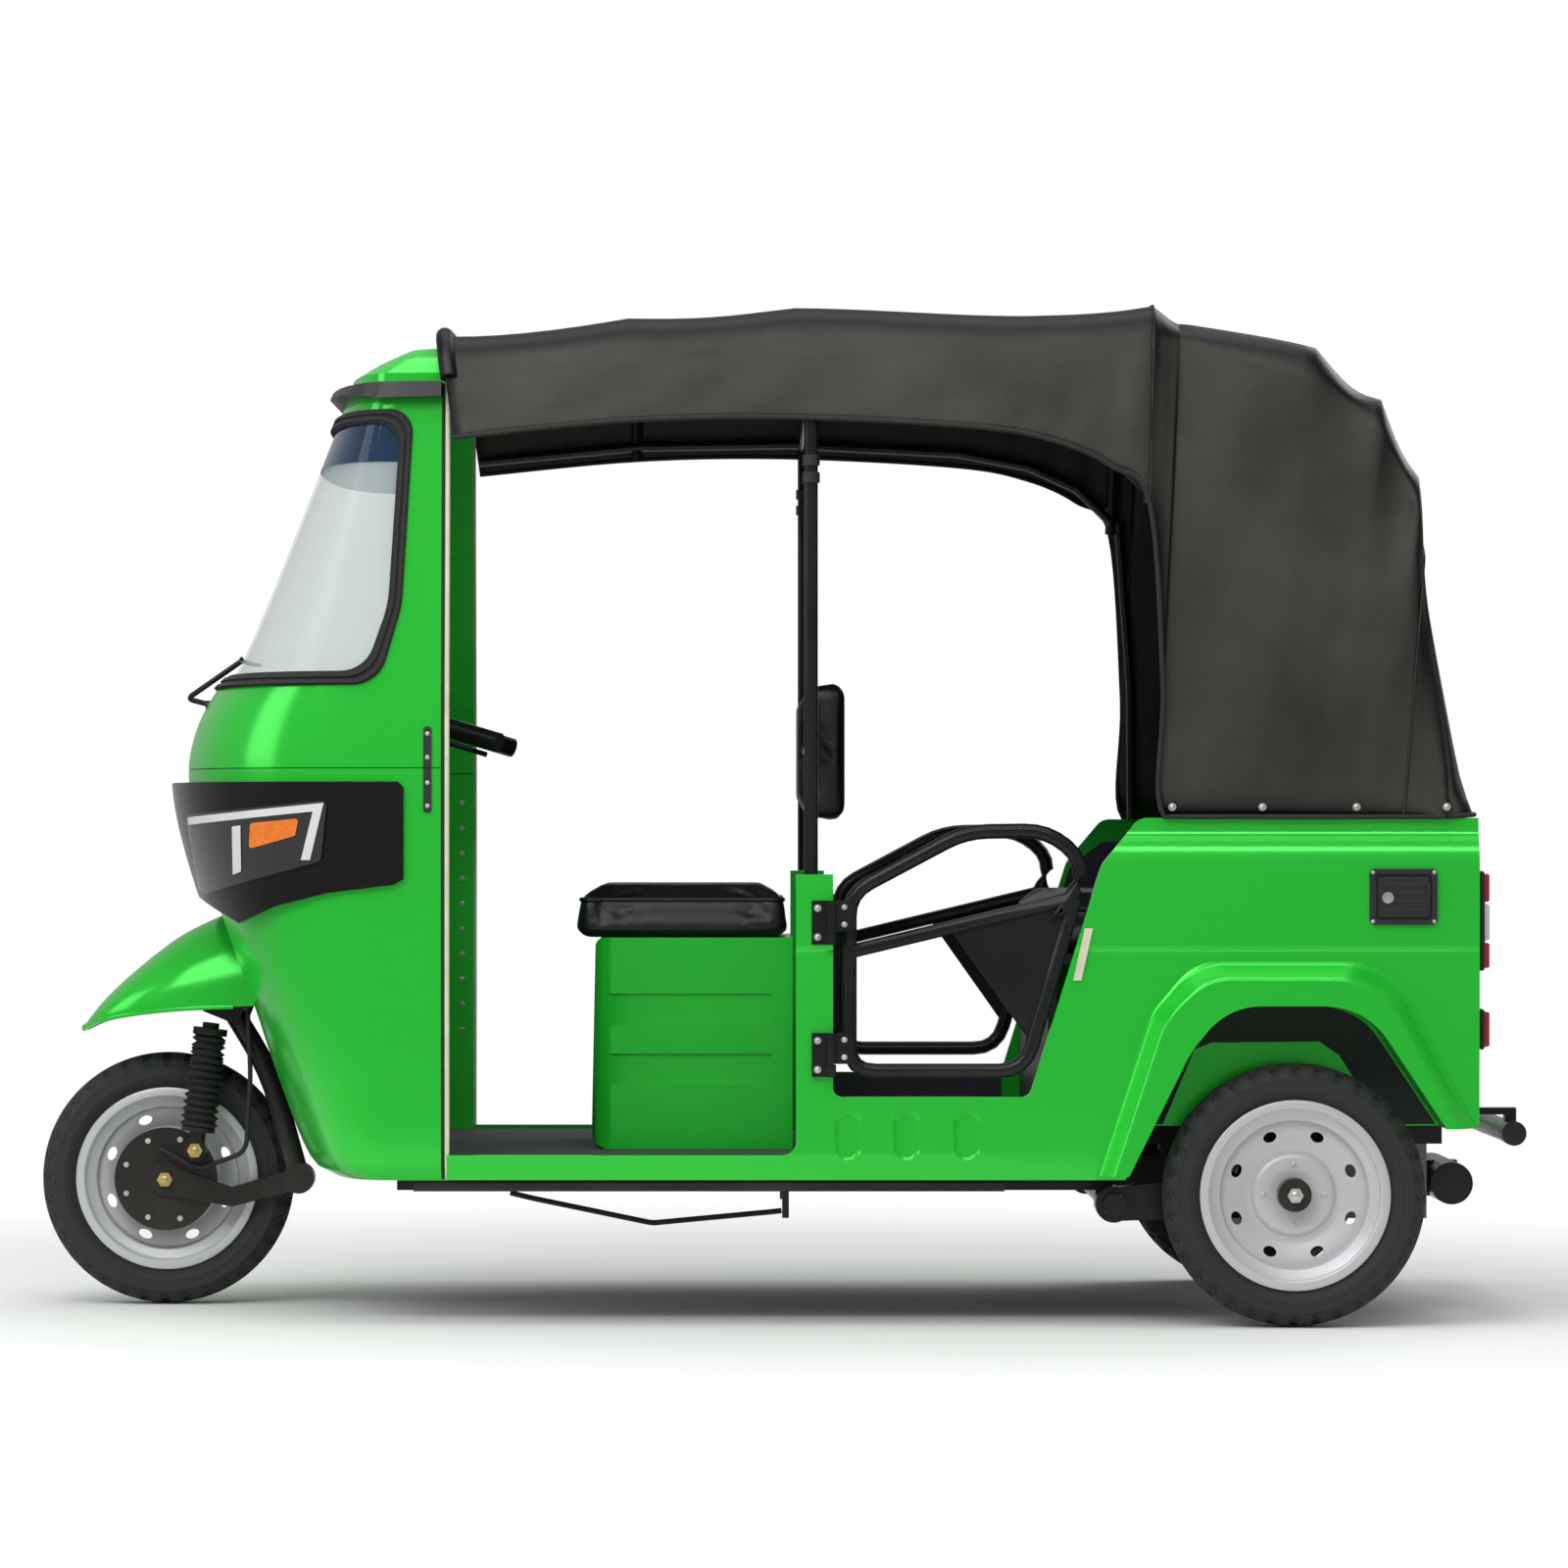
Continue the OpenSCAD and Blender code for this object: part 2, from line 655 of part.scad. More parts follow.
// One hood section, drawn in by g: from the right hem over the roof to the left hem
function hood_row(r, g) =
  let (
    hem = [rear_axle_x + r[2], r[3]],
    d = [rear_axle_x + r[0], r[1]] - hem,
    len_in = norm(d) - g,
    e = unit(d),
    rad = min(hood_r, 0.7 * len_in),
    low = side_half - r[4] - g,
    lean = hood_in * min(1, norm(d) / 400),
    top = low - lean,
    half = concat(
      [[low, 0]],
      [[top + 2, len_in - rad]],
      [for (k = [1:4]) let (a = 22.5 * k) [top - rad + rad * cos(a), len_in - rad + rad * sin(a)]],
      [for (k = [1:2]) let (y = (top - rad) * (1 - k / 3)) [y, len_in + 12 * (1 - pow(y / (top - rad), 2))]]
    ),
    ring = concat(half, [[0, len_in + 12]], [for (k = [len(half) - 1:-1:0]) [-half[k][0], half[k][1]]])
  )
  [for (p = ring) [hem[0] + e[0] * p[1], -p[0], hem[1] + e[1] * p[1]]];

module canopy() {
  color("dimgray") sheet([for (r = HOOD) hood_row(r, 0)], [for (r = HOOD) hood_row(r, hood_wall)]);
}

bow_r = 11;
// Bow under a hood row, held off the cloth by a gap that suits the slope there
module bow(i, gap) {
  tube(hood_row(HOOD[i], hood_wall + bow_r + gap), bow_r, [1, 0, 0], 8);
}

// Foot that stands a bow on the top edge of the quarter panel
module bow_foot(i, gap) {
  both_sides() translate([rear_axle_x + HOOD[i][2], side_half - HOOD[i][4] - hood_wall - bow_r - gap, waist_z + fit])
    cylinder(r = bow_r, h = 12);
}

module roof_frame() {
  color("black") {
    both_sides() translate([pole_x, pole_y, post_top_z + fit])
      cylinder(d = pole_d, h = 1600 - post_top_z);
    rod_y(pole_x, 1000, -pole_y, pole_y, 11);
    rod_y(pole_x, 1590, -pole_y, pole_y, 11);
    for (b = [[1, 1], [6, 5], [9, 5], [10, 12]]) bow(b[0], b[1]);
    bow_foot(9, 5);
    bow_foot(10, 12);
    both_sides() tube([for (i = [0, 1, 2, 3, 4, 5, 6])
      [rear_axle_x + HOOD[i][2], pole_y - 10, HOOD[i][3] + 22]], 9, [0, 1, 0], 8);
    both_sides() tube([for (i = [6, 7, 8])
      [rear_axle_x + HOOD[i][2] - 14, pole_y - 10, i == 8 ? waist_z + fit : HOOD[i][3] + 22]], 9, [0, 1, 0], 8);
  }
}

hinge_x = post_rear_x + 3;
hinge_y = side_half + 14;
hinge_zs = [471, 700];

module hinge_leaves() {
  color("black") both_sides() for (z = hinge_zs) {
    box(hinge_x, hinge_x + 34, side_half + fit - (z < 600 ? 4 : 0), side_half + 3, z - 38, z + 38);
    translate([hinge_x, hinge_y, z - 38]) cylinder(d = 16, h = 22);
    translate([hinge_x, hinge_y, z - 38]) cylinder(d = 8, h = 76);
    box(hinge_x - 4, hinge_x + 6, side_half + fit, hinge_y, z - 38, z - 16);
  }
}

// Door frame points in side view: x from the rear axle, z
door_y = side_half - 11;
function door_path(p) = [for (q = p) [rear_axle_x + q[0], door_y, q[1]]];

module door() {
  r = door_tube_d / 2;
  tube(eased(door_path([[771, 600], [771, 750], [570, 857], [428, 859], [364, 806], [384, 737], [402, 722]]), 40),
    r, [0, 1, 0], 10);
  tube(eased(door_path([[771, 610], [771, 443], [468, 443], [380, 742]]), 45), r, [0, 1, 0], 10);
  tube(door_path([[771, 649], [384, 742]]), r - 1, [0, 1, 0], 10);
  along_y(door_y - 2, door_y + 2) polygon([[rear_axle_x + 596, 688], [rear_axle_x + 382, 740],
    [rear_axle_x + 456, 490]]);
  for (z = hinge_zs) difference() {
    union() {
      translate([hinge_x, hinge_y, z - 15]) cylinder(d = 16, h = 53);
      box(hinge_x - 35, hinge_x, hinge_y - 6, hinge_y + 2, z - 15, z + 38);
    }
    translate([hinge_x, hinge_y, z - 20]) cylinder(d = 8 + 2 * fit, h = 80);
  }
  for (z = hinge_zs) box(hinge_x - 40, hinge_x - 26, door_y, hinge_y, z - 15, z + 38);
}

module door_left() {
  color("black") door();
}

module door_right() {
  color("black") mirror([0, 1, 0]) door();
}

filler_x0 = rear_axle_x - 245;
filler_x1 = rear_axle_x - 128;
filler_z0 = 696;
filler_z1 = 793;
module filler_bezel() {
  color("black") along_y(side_half + fit, side_half + 6) difference() {
    rounded_rect(filler_x0, filler_z0, filler_x1, filler_z1, 10);
    rounded_rect(filler_x0 + 10, filler_z0 + 9, filler_x1 - 10, filler_z1 - 9, 6);
  }
}

module filler_lid() {
  color("black") {
    along_y(side_half + fit, side_half + 6)
      rounded_rect(filler_x0 + 15, filler_z0 + 14, filler_x1 - 15, filler_z1 - 14, 4);
    for (z = [1:4]) box(filler_x0 + 18, filler_x1 - 18, side_half + 5, side_half + 8,
      filler_z0 + 8 + z * 15, filler_z0 + 15 + z * 15);
    translate([filler_x0 + 15, side_half + 9, filler_z0 + 24]) cylinder(d = 5, h = 49);
    box(filler_x0 + 15, filler_x0 + 19, side_half + 5, side_half + 9, filler_z0 + 24, filler_z0 + 73);
  }
}

module tail_lamps() {
  color("red") both_sides() {
    box(tail_x - 21, tail_x - fit, side_half - 146, side_half - 56, 615, 789);
    box(tail_x - 21, tail_x - fit, side_half - 146, side_half - 56, 478, 549);
  }
}

bumper_x = -(front_axle_x + tyre_r) + bumper_d / 2;
module rear_bumper() {
  color("black") {
    rod_y(bumper_x, 329, -480, 480, bumper_d / 2 - 2);
    // Thicker capped ends
    both_sides() rod_y(bumper_x, 329, 430, 480, bumper_d / 2);
    both_sides() box(bumper_x, tail_x - fit, 395, 425, 360, 372);
    both_sides() box(bumper_x - 10, bumper_x + 10, 395, 425, 329, 372);
  }
}

module engine_block() {
  color("gray") difference() {
    box(rear_axle_x - 270, rear_axle_x + 110, -205 + fit, 205 - fit, 165, 560);
    rod_y(rear_axle_x, tyre_r, -300, 300, 16);
  }
}

module exhaust_silencer() {
  color("silver") {
    rod_y(rear_axle_x - 320, 225, -200, 160, 38);
    box(rear_axle_x - 345, rear_axle_x - 270 - fit, -20, 20, 195, 260);
  }
}

arm_y = wheel_y - tyre_w / 2 - 62;
module trailing_arms() {
  color("black") both_sides() difference() {
    union() {
      along_y(arm_y - 22, arm_y + 22) {
        translate([rear_axle_x + 306, 205]) circle(r = 32);
        translate([rear_axle_x, tyre_r]) circle(r = 46);
        polygon([[rear_axle_x + 306, 234], [rear_axle_x + 306, 176], [rear_axle_x, tyre_r - 44],
          [rear_axle_x, tyre_r + 44]]);
      }
      rod_y(rear_axle_x, tyre_r, arm_y, arm_y + 46, drum_d / 2 + 6);
    }
    rod_y(rear_axle_x + 306, 205, 0, beyond, 20 + fit);
    rod_y(rear_axle_x, tyre_r, 0, beyond, 20 + fit);
    rod_y(rear_axle_x, tyre_r, arm_y + 32, beyond, drum_d / 2 + 1);
  }
}

// Coil wound along Z from the origin
module coil(r, wire, h, turns, steps = 10) {
  tube([for (k = [0:turns * steps]) let (a = 360 * k / steps) [r * cos(a), r * sin(a), h * k / (turns * steps)]],
    wire, [0, 0, 1], 5);
}

module rear_shocks() {
  top = deck_z - 18 - fit;
  color("black") both_sides() translate([rear_axle_x + 150, arm_y, 0]) {
    translate([0, 0, 256.3]) cylinder(d = 40, h = top - 256.3);
    translate([0, 0, top - 14]) cylinder(d = 72, h = 14);
    translate([0, 0, 300]) cylinder(d = 72, h = 14);
    translate([0, 0, 312]) coil(29, 5, top - 324, 5);
  }
}

module control_cable() {
  color("black") tube(eased([[seam_x - 100, rail_y, rail_top - 62], [seam_x - 140, rail_y, 206],
    [(seam_x - 100 + post_front_x) / 2, rail_y, 162], [post_front_x + 40, rail_y, 182], [post_front_x + 22 + 3 * fit, rail_y, 184]], 8), 5,
    [0, 1, 0], 8);
}

module steering_stem() {
  color("black") {
    on_axis(520) cylinder(d = 50, h = 540);
    on_axis(520) cylinder(d = 84, h = 40);
    // Crown and leg on the left of the wheel
    translate(axis_at(532)) rotate([0, -rake, 0]) translate([-34, 0, -12]) cube([68, 118, 40]);
    tube(eased([[axis_at(530)[0] - 16, 98, 536], [front_axle_x - 190, 98, 425], [front_axle_x - 244, 98, 232]], 60), 19,
      [0, 1, 0], 12);
    rod_y(front_axle_x - 244, 232, link_y + 13 + fit, 120, 28);
  }
}

module handlebar() {
  p = axis_at(1016);
  color("black") difference() {
    union() {
      for (s = [-1, 1]) {
        tube(eased([[p[0], 0, p[2]], [p[0] - 20, s * 110, p[2] + 40], [p[0] - 150, s * 270, p[2] + 46],
          [p[0] - 300, s * 345, p[2] + 2]], 45), 12, [0, 0, 1], 10);
        tube([[p[0] - 195, s * 292, p[2] + 33], [p[0] - 312, s * 351, p[2] - 2]], 18, [0, 0, 1], 10);
      }
      on_axis(992) cylinder(d = 74, h = 56);
    }
    on_axis(980) cylinder(d = 50 + 2 * fit, h = 48);
  }
}

link_y = 62;
module front_link() {
  color("black") {
      along_y(link_y + 1, link_y + 13) {
        translate([front_axle_x - 244, 232]) circle(r = 26);
        translate([front_axle_x, tyre_r]) circle(r = 30);
        polygon([[front_axle_x - 244, 250], [front_axle_x - 120, 214], [front_axle_x, tyre_r + 26],
          [front_axle_x, tyre_r - 28], [front_axle_x - 120, 178], [front_axle_x - 244, 210]]);
      }
      rod_y(front_axle_x, tyre_r, link_y - 6, link_y + 5, drum_d / 2);
      rod_y(front_axle_x, tyre_r, -40, link_y + 30, 10);
      rod_y(front_axle_x - 57, 282, link_y, link_y + 56, 12);
  }
}

shock_top = [front_axle_x - 86, 102, 520];
shock_foot = [front_axle_x - 57, 102, 282];
module front_shock() {
  d = shock_top - shock_foot;
  color("black") translate(shock_foot) rotate([0, atan2(d[0], d[2]), 0]) {
    difference() {
      union() {
        rod_y(0, 0, -14, 14, 20);
        cylinder(d = 30, h = norm(d) - 8);
        translate([0, 0, 34]) cylinder(d = 62, h = 8);
        translate([0, 0, norm(d) - 30]) cylinder(d = 62, h = 12);
        translate([0, 0, 40]) coil(26, 4.5, norm(d) - 68, 6);
      }
      rod_y(0, 0, -40, 40, 12 + fit);
    }
  }
}

module brake_hose() {
  color("black") tube(eased([[front_axle_x + 10, link_y + 9.8, 284], [front_axle_x - 60, link_y + 24, 246],
    [front_axle_x - 150, link_y + 66, 280], [front_axle_x - 158, link_y + 66, 420],
    [front_axle_x - 150, link_y + 65, 590], [axis_at(625)[0], 58, 625], [axis_at(625)[0], 30, 625]], 24, 3), 4.5,
    [0.3, 1, 0.2], 6);
}

// Wheel drawn with its axis along Y at the origin, outer face towards +Y
module tyre() {
  r = tyre_r;
  w = tyre_w / 2;
  b = rim_d / 2;
  // Height of the tyre wall against the one drawn
  k = (r - b) / 63;
  side = [[b - 14, w - 24, 0], [b - 14, w - 14, 0], [b + 3 * k, w - 14, 0], [b + 12 * k, w - 3, 5 * k],
    [r - 34 * k, w, 16 * k], [r - 8 * k, w - 12, 12 * k], [r, w * 0.3, 30 * k]];
  inner = [[r - 20 * k, -w + 22, 10 * k], [r - 20 * k, w - 22, 10 * k], [b + 10 * k, w - 20, 0]];
  color("black") rotate([90, 0, 0]) rotate_extrude($fn = 96) polygon(round_corners(concat(
    [for (q = side) q], [for (k = [len(side) - 1:-1:0]) [side[k][0], -side[k][1], side[k][2]]],
    [[b + 10 * k, -w + 20, 0]], inner), 4));
}

module rim_ring() {
  b = rim_d / 2;
  w = tyre_w / 2;
  rotate([90, 0, 0]) rotate_extrude($fn = 96) polygon([
    [b, -w + 13.7], [b - 14.3, -w + 13.7], [b - 14.3, -w + 26], [b - 34, -w + 34], [b - 34, w - 34],
    [b - 14.3, w - 26], [b - 14.3, w - 13.7], [b, w - 13.7], [b, w - 10], [b - 18, w - 10], [b - 18, w - 26],
    [b - 38, w - 30], [b - 38, -w + 30], [b - 18, -w + 26], [b - 18, -w + 10], [b, -w + 10]]);
}

module rear_rim() {
  color("silver") difference() {
    union() {
      rim_ring();
      rotate([90, 0, 0]) rotate_extrude($fn = 96) polygon([[29 + fit, -6], [66, -6], [74, -14], [rim_d / 2 - 36, -2],
        [rim_d / 2 - 36, 4], [76, -8], [70, 0], [29 + fit, 0]]);
    }
    for (k = [0:disc_holes - 1]) rotate([0, (k + 0.5) * 360 / disc_holes, 0]) rod_y(107, 0, -40, 40, 11);
  }
}

module rear_hub() {
  color("black") {
    rod_y(0, 0, -wheel_y + 150, 40, 13);
    rod_y(0, 0, -130, -20, 20);
    rod_y(0, 0, -64, 34, 29);
    rotate([90, 0, 0]) rotate_extrude($fn = 96) polygon([[28, fit], [64, fit], [64, 26], [drum_d / 2 - 4, 26],
      [drum_d / 2 - 4, 60], [drum_d / 2 - 16, 60], [drum_d / 2 - 16, 36], [28, 36]]);
  }
}

module front_rim() {
  color("silver") difference() {
    union() {
      rim_ring();
      rotate([90, 0, 0]) rotate_extrude($fn = 96) {
        translate([10 + fit, -30]) square([22, 38]);
        polygon([[30, -10], [rim_d / 2 - 36, -4], [rim_d / 2 - 36, 3], [30, -2]]);
        translate([drum_d / 2 - 20, -52]) square([12, 50]);
      }
    }
    for (k = [0:disc_holes - 1]) rotate([0, (k + 0.5) * 360 / disc_holes, 0]) rod_y(112, 0, -40, 40, 9);
  }
}

module at_rear(side) {
  translate([rear_axle_x, side * wheel_y, tyre_r]) scale([1, side, 1]) children();
}

module front_tyre() {
  translate([front_axle_x, 0, tyre_r]) tyre();
}

underframe();
floor_pan();
front_cowl_lower();
front_cowl_upper();
steering_tunnel();
instrument_panel();
roof_header();
sun_visor();
windscreen_glass();
windscreen_seal();
headlamp_mask();
headlamps();
front_mudguard();
wiper();
body_side_left();
body_side_right();
tail_panel();
wheelhouses();
quarter_trim();
seat_bulkhead();
driver_seat_box();
driver_cushion();
driver_backrest();
bench_cushion();
bench_backrest();
roof_frame();
canopy();
hinge_leaves();
filler_bezel();
tail_lamps();
rear_bumper();
engine_block();
exhaust_silencer();
trailing_arms();
rear_shocks();
control_cable();
steering_stem();
handlebar();
front_link();
front_shock();
brake_hose();
translate([front_axle_x, 0, tyre_r]) front_rim();
front_tyre();
at_rear(1) rear_rim();  // rear_rim_left
at_rear(1) tyre();  // rear_tyre_left
at_rear(1) rear_hub();  // rear_hub_left
at_rear(-1) rear_rim();  // rear_rim_right
at_rear(-1) tyre();  // rear_tyre_right
at_rear(-1) rear_hub();  // rear_hub_right
door_left();
door_right();
filler_lid();
engine_hatch();
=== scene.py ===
"""Looks of a covered three-wheeled taxi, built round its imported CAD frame."""
import math

import bmesh
import bpy
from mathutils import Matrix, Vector
from mathutils.bvhtree import BVHTree


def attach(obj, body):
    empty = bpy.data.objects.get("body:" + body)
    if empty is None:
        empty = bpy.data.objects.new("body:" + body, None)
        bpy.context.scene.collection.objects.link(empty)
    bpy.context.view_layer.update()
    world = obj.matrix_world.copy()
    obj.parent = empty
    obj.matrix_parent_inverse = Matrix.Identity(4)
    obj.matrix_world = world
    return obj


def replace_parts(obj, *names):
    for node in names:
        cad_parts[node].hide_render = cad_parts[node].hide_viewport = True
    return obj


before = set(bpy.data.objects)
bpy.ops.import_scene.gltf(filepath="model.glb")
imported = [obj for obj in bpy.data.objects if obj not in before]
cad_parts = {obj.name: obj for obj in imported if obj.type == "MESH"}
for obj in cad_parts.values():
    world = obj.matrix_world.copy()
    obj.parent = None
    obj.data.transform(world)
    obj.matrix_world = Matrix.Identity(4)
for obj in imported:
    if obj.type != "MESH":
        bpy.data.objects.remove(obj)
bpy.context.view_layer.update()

bl_info = {
    "name": "Three-wheeled taxi looks",
    "version": (1, 0, 0),
    "blender": (4, 5, 0),
    "location": "View3D > Sidebar > Taxi",
    "description": "Panels, hood, seats, tyres and trim for a covered three-wheeled taxi",
    "category": "Object",
}

MM = 0.001
ROOT = "chassis"

# Places shared with the CAD model, in millimetres
FRONT_AXLE = 1094.0
REAR_AXLE = -906.0
WHEEL_R = 228.0
WHEEL_Y = 575.0
SEAM = 562.0  # Joint between the cowl and the body
COWL_WALL = 14.0
SEAL_W = 24.0
SIDE_HALF = 616.0  # Outer face of a body side
SIDE_IN = 590.0  # Inner face of a body side
TAIL = -1225.0
WAIST = 881.0
SILL = 254.0
POST = (-107.0, -43.0)  # Rear and front of the door post
POST_TOP = 783.0
QUARTER = -446.0  # Foot of the quarter panel's front edge
DOOR_SILL = 398.0
HINGE_X = -104.0
HINGE_HEIGHTS = (471, 700)
BAR_X, BAR_Z = 791.6, 1016.0  # Steering axis at the handlebar
SHOCK_FOOT = (FRONT_AXLE - 57, 102, 282)
SHOCK_TOP = (FRONT_AXLE - 86, 102, 520)
FILLER_HOLE = [(-1127, 718), (-1058, 718), (-1058, 771), (-1127, 771)]

# Sides of the body: name, sign of y
SIDES = (("left", 1), ("right", -1))

# Half the reach of a cutter that goes right across the body
ACROSS = 800.0

# Nose sections: height, nose ahead of the seam, start of the flat side, half width
COWL = [
    (252, 226, 90, 572), (272, 262, 100, 588), (411, 322, 110, 596), (544, 368, 120, 600),
    (700, 425, 125, 602), (860, 474, 130, 603), (968, 488, 130, 602), (1045, 472, 126, 599),
    (1113, 435, 120, 595), (1150, 398, 115, 592), (1588, 214, 90, 556), (1640, 190, 84, 550),
]
AHEAD, FLAT_FROM, HALF_WIDTH = 1, 2, 3

# Hood rows: roof x and z, hem x and z, half width at the hem
HOOD = [
    (575, 1722, 551, 1540, 596), (249, 1752, 249, 1569, 604), (-42, 1770, -40, 1574, 606),
    (-362, 1764, -362, 1557, 606), (-500, 1767, -498, 1531, 606), (-600, 1771, -590, 1489, 606),
    (-666, 1774, -655, 1425, 606), (-706, 1770, -678, 1110, 604), (-746, 1764, -680, 883, 602),
    (-951, 1702, -826, 883, 602), (-1065, 1612, -956, 883, 602), (-1130, 1478, -1056, 883, 602),
    (-1149, 1281, -1116, 883, 602), (-1219, 887, -1168, 883, 602),
]


# Settings


class TaxiColours(bpy.types.PropertyGroup):
    """Colours a user would change."""

    paint: bpy.props.FloatVectorProperty(
        name="Body paint", description="Colour of the painted panels", subtype="COLOR",
        size=3, min=0, max=1, default=(0.012, 0.52, 0.022))
    hood: bpy.props.FloatVectorProperty(
        name="Hood cloth", description="Colour of the coated hood cloth", subtype="COLOR",
        size=3, min=0, max=1, default=(0.050, 0.047, 0.039))
    seat: bpy.props.FloatVectorProperty(
        name="Seat covers", description="Colour of the seat covers", subtype="COLOR",
        size=3, min=0, max=1, default=(0.006, 0.007, 0.010))
    wheel: bpy.props.FloatVectorProperty(
        name="Wheels", description="Colour of the wheel discs", subtype="COLOR",
        size=3, min=0, max=1, default=(0.76, 0.76, 0.78))


class TaxiSizes(bpy.types.PropertyGroup):
    """Sizes a user would change."""

    hood_sag: bpy.props.FloatProperty(
        name="Hood sag", description="Depth of the cloth between two bows", default=0.015,
        min=0, max=0.03, unit="LENGTH")
    tread_depth: bpy.props.FloatProperty(
        name="Tread depth", description="Depth of the tyre grooves", default=0.006,
        min=0.001, max=0.012, unit="LENGTH")
    bolt_radius: bpy.props.FloatProperty(
        name="Bolt radius", description="Radius of the small bolt heads", default=0.0065,
        min=0.003, max=0.012, unit="LENGTH")
    piping_radius: bpy.props.FloatProperty(
        name="Piping radius", description="Radius of the piping on hems and covers", default=0.0045,
        min=0.002, max=0.01, unit="LENGTH")


def colours():
    return bpy.context.scene.taxi_colours


def sizes():
    return bpy.context.scene.taxi_sizes


# Finishes


def dusty(tree, shade, place, cloud, dust):
    """Colour socket with road dust laid over the lower part of the vehicle."""
    nodes, links = tree.nodes, tree.links
    split = nodes.new("ShaderNodeSeparateXYZ")
    links.new(place.outputs["Object"], split.inputs["Vector"])
    low = nodes.new("ShaderNodeMapRange")
    low.inputs["From Min"].default_value = 0.50
    low.inputs["From Max"].default_value = 0.12
    low.inputs["To Max"].default_value = dust
    links.new(split.outputs["Z"], low.inputs["Value"])
    fine = nodes.new("ShaderNodeMath")
    fine.operation = "MULTIPLY"
    links.new(low.outputs["Result"], fine.inputs[0])
    links.new(cloud.outputs["Fac"], fine.inputs[1])
    veil = nodes.new("ShaderNodeMix")
    veil.data_type = "RGBA"
    veil.inputs["B"].default_value = (0.20, 0.17, 0.13, 1)
    links.new(fine.outputs["Value"], veil.inputs["Factor"])
    links.new(shade, veil.inputs["A"])
    return veil.outputs["Result"]


def grained(tree, place, grain):
    """Last of a stack of bump nodes, one for each layer of relief, or None."""
    nodes, links = tree.nodes, tree.links
    relief = None
    for kind, scale, strength, distance in grain:
        tex = nodes.new("ShaderNodeTexVoronoi" if kind == "cells" else "ShaderNodeTexNoise")
        tex.inputs["Scale"].default_value = scale
        if kind != "cells":
            tex.inputs["Detail"].default_value = 4.0
        links.new(place.outputs["Object"], tex.inputs["Vector"])
        bump = nodes.new("ShaderNodeBump")
        bump.inputs["Strength"].default_value = strength
        bump.inputs["Distance"].default_value = distance
        links.new(tex.outputs["Distance" if kind == "cells" else "Fac"], bump.inputs["Height"])
        if relief:
            links.new(relief.outputs["Normal"], bump.inputs["Normal"])
        relief = bump
    return relief


def finish(name, colour, rough, mottle=0.10, mottle_scale=6.0, grain=(), rough_var=0.08, dust=0.0,
           **sockets):
    """Principled finish with mottled colour, varied gloss and layers of relief.

    grain holds (kind, scale, strength, distance); sockets are set as constants.
    """
    old = bpy.data.materials.get(name)
    if old:
        return old
    mat = bpy.data.materials.new(name)
    mat.use_nodes = True
    tree = mat.node_tree
    nodes, links = tree.nodes, tree.links
    shader = nodes["Principled BSDF"]
    place = nodes.new("ShaderNodeTexCoord")
    cloud = nodes.new("ShaderNodeTexNoise")
    cloud.inputs["Scale"].default_value = mottle_scale
    cloud.inputs["Detail"].default_value = 6.0
    links.new(place.outputs["Object"], cloud.inputs["Vector"])
    ramp = nodes.new("ShaderNodeMapRange")
    ramp.inputs["From Min"].default_value = 0.3
    ramp.inputs["From Max"].default_value = 0.7
    links.new(cloud.outputs["Fac"], ramp.inputs["Value"])
    mix = nodes.new("ShaderNodeMix")
    mix.data_type = "RGBA"
    mix.inputs["A"].default_value = (*[c * (1 - mottle) for c in colour], 1)
    mix.inputs["B"].default_value = (*[min(1, c * (1 + mottle)) for c in colour], 1)
    links.new(ramp.outputs["Result"], mix.inputs["Factor"])
    shade = mix.outputs["Result"]
    if dust:
        shade = dusty(tree, shade, place, cloud, dust)
    links.new(shade, shader.inputs["Base Color"])
    gloss = nodes.new("ShaderNodeMapRange")
    gloss.inputs["To Min"].default_value = max(0.02, rough - rough_var)
    gloss.inputs["To Max"].default_value = min(1.0, rough + rough_var)
    links.new(cloud.outputs["Fac"], gloss.inputs["Value"])
    links.new(gloss.outputs["Result"], shader.inputs["Roughness"])
    relief = grained(tree, place, grain)
    if relief:
        links.new(relief.outputs["Normal"], shader.inputs["Normal"])
    for socket, value in sockets.items():
        shader.inputs[socket.replace("_", " ")].default_value = value
    return mat


def green_paint():
    return finish("green_paint", colours().paint, 0.22, mottle=0.04, rough_var=0.05, dust=0.35,
                  grain=[("noise", 260, 0.03, 0.0006)], Coat_Weight=0.9, Coat_Roughness=0.05)


def tube_paint():
    return finish("tube_paint", (0.012, 0.012, 0.013), 0.20, mottle=0.3, dust=0.25,
                  grain=[("noise", 180, 0.06, 0.0006)], Specular_IOR_Level=0.24)


def black_plastic():
    return finish("black_plastic", (0.006, 0.006, 0.007), 0.26, mottle=0.25, dust=0.2,
                  grain=[("noise", 900, 0.15, 0.0003)], Specular_IOR_Level=0.20)


def mask_gloss():
    return finish("mask_gloss", (0.004, 0.004, 0.005), 0.16, mottle=0.2, rough_var=0.06,
                  grain=[("noise", 300, 0.04, 0.0004)], Specular_IOR_Level=0.35)


def screen_tint():
    return finish("screen_tint", (0.06, 0.13, 0.24), 0.05, mottle=0.05, rough_var=0.02,
                  Transmission_Weight=0.75, IOR=1.3)


def seat_cover():
    return finish("seat_cover", colours().seat, 0.40, mottle=0.3,
                  grain=[("cells", 420, 0.35, 0.0008), ("noise", 22, 0.35, 0.005)],
                  Specular_IOR_Level=0.40)


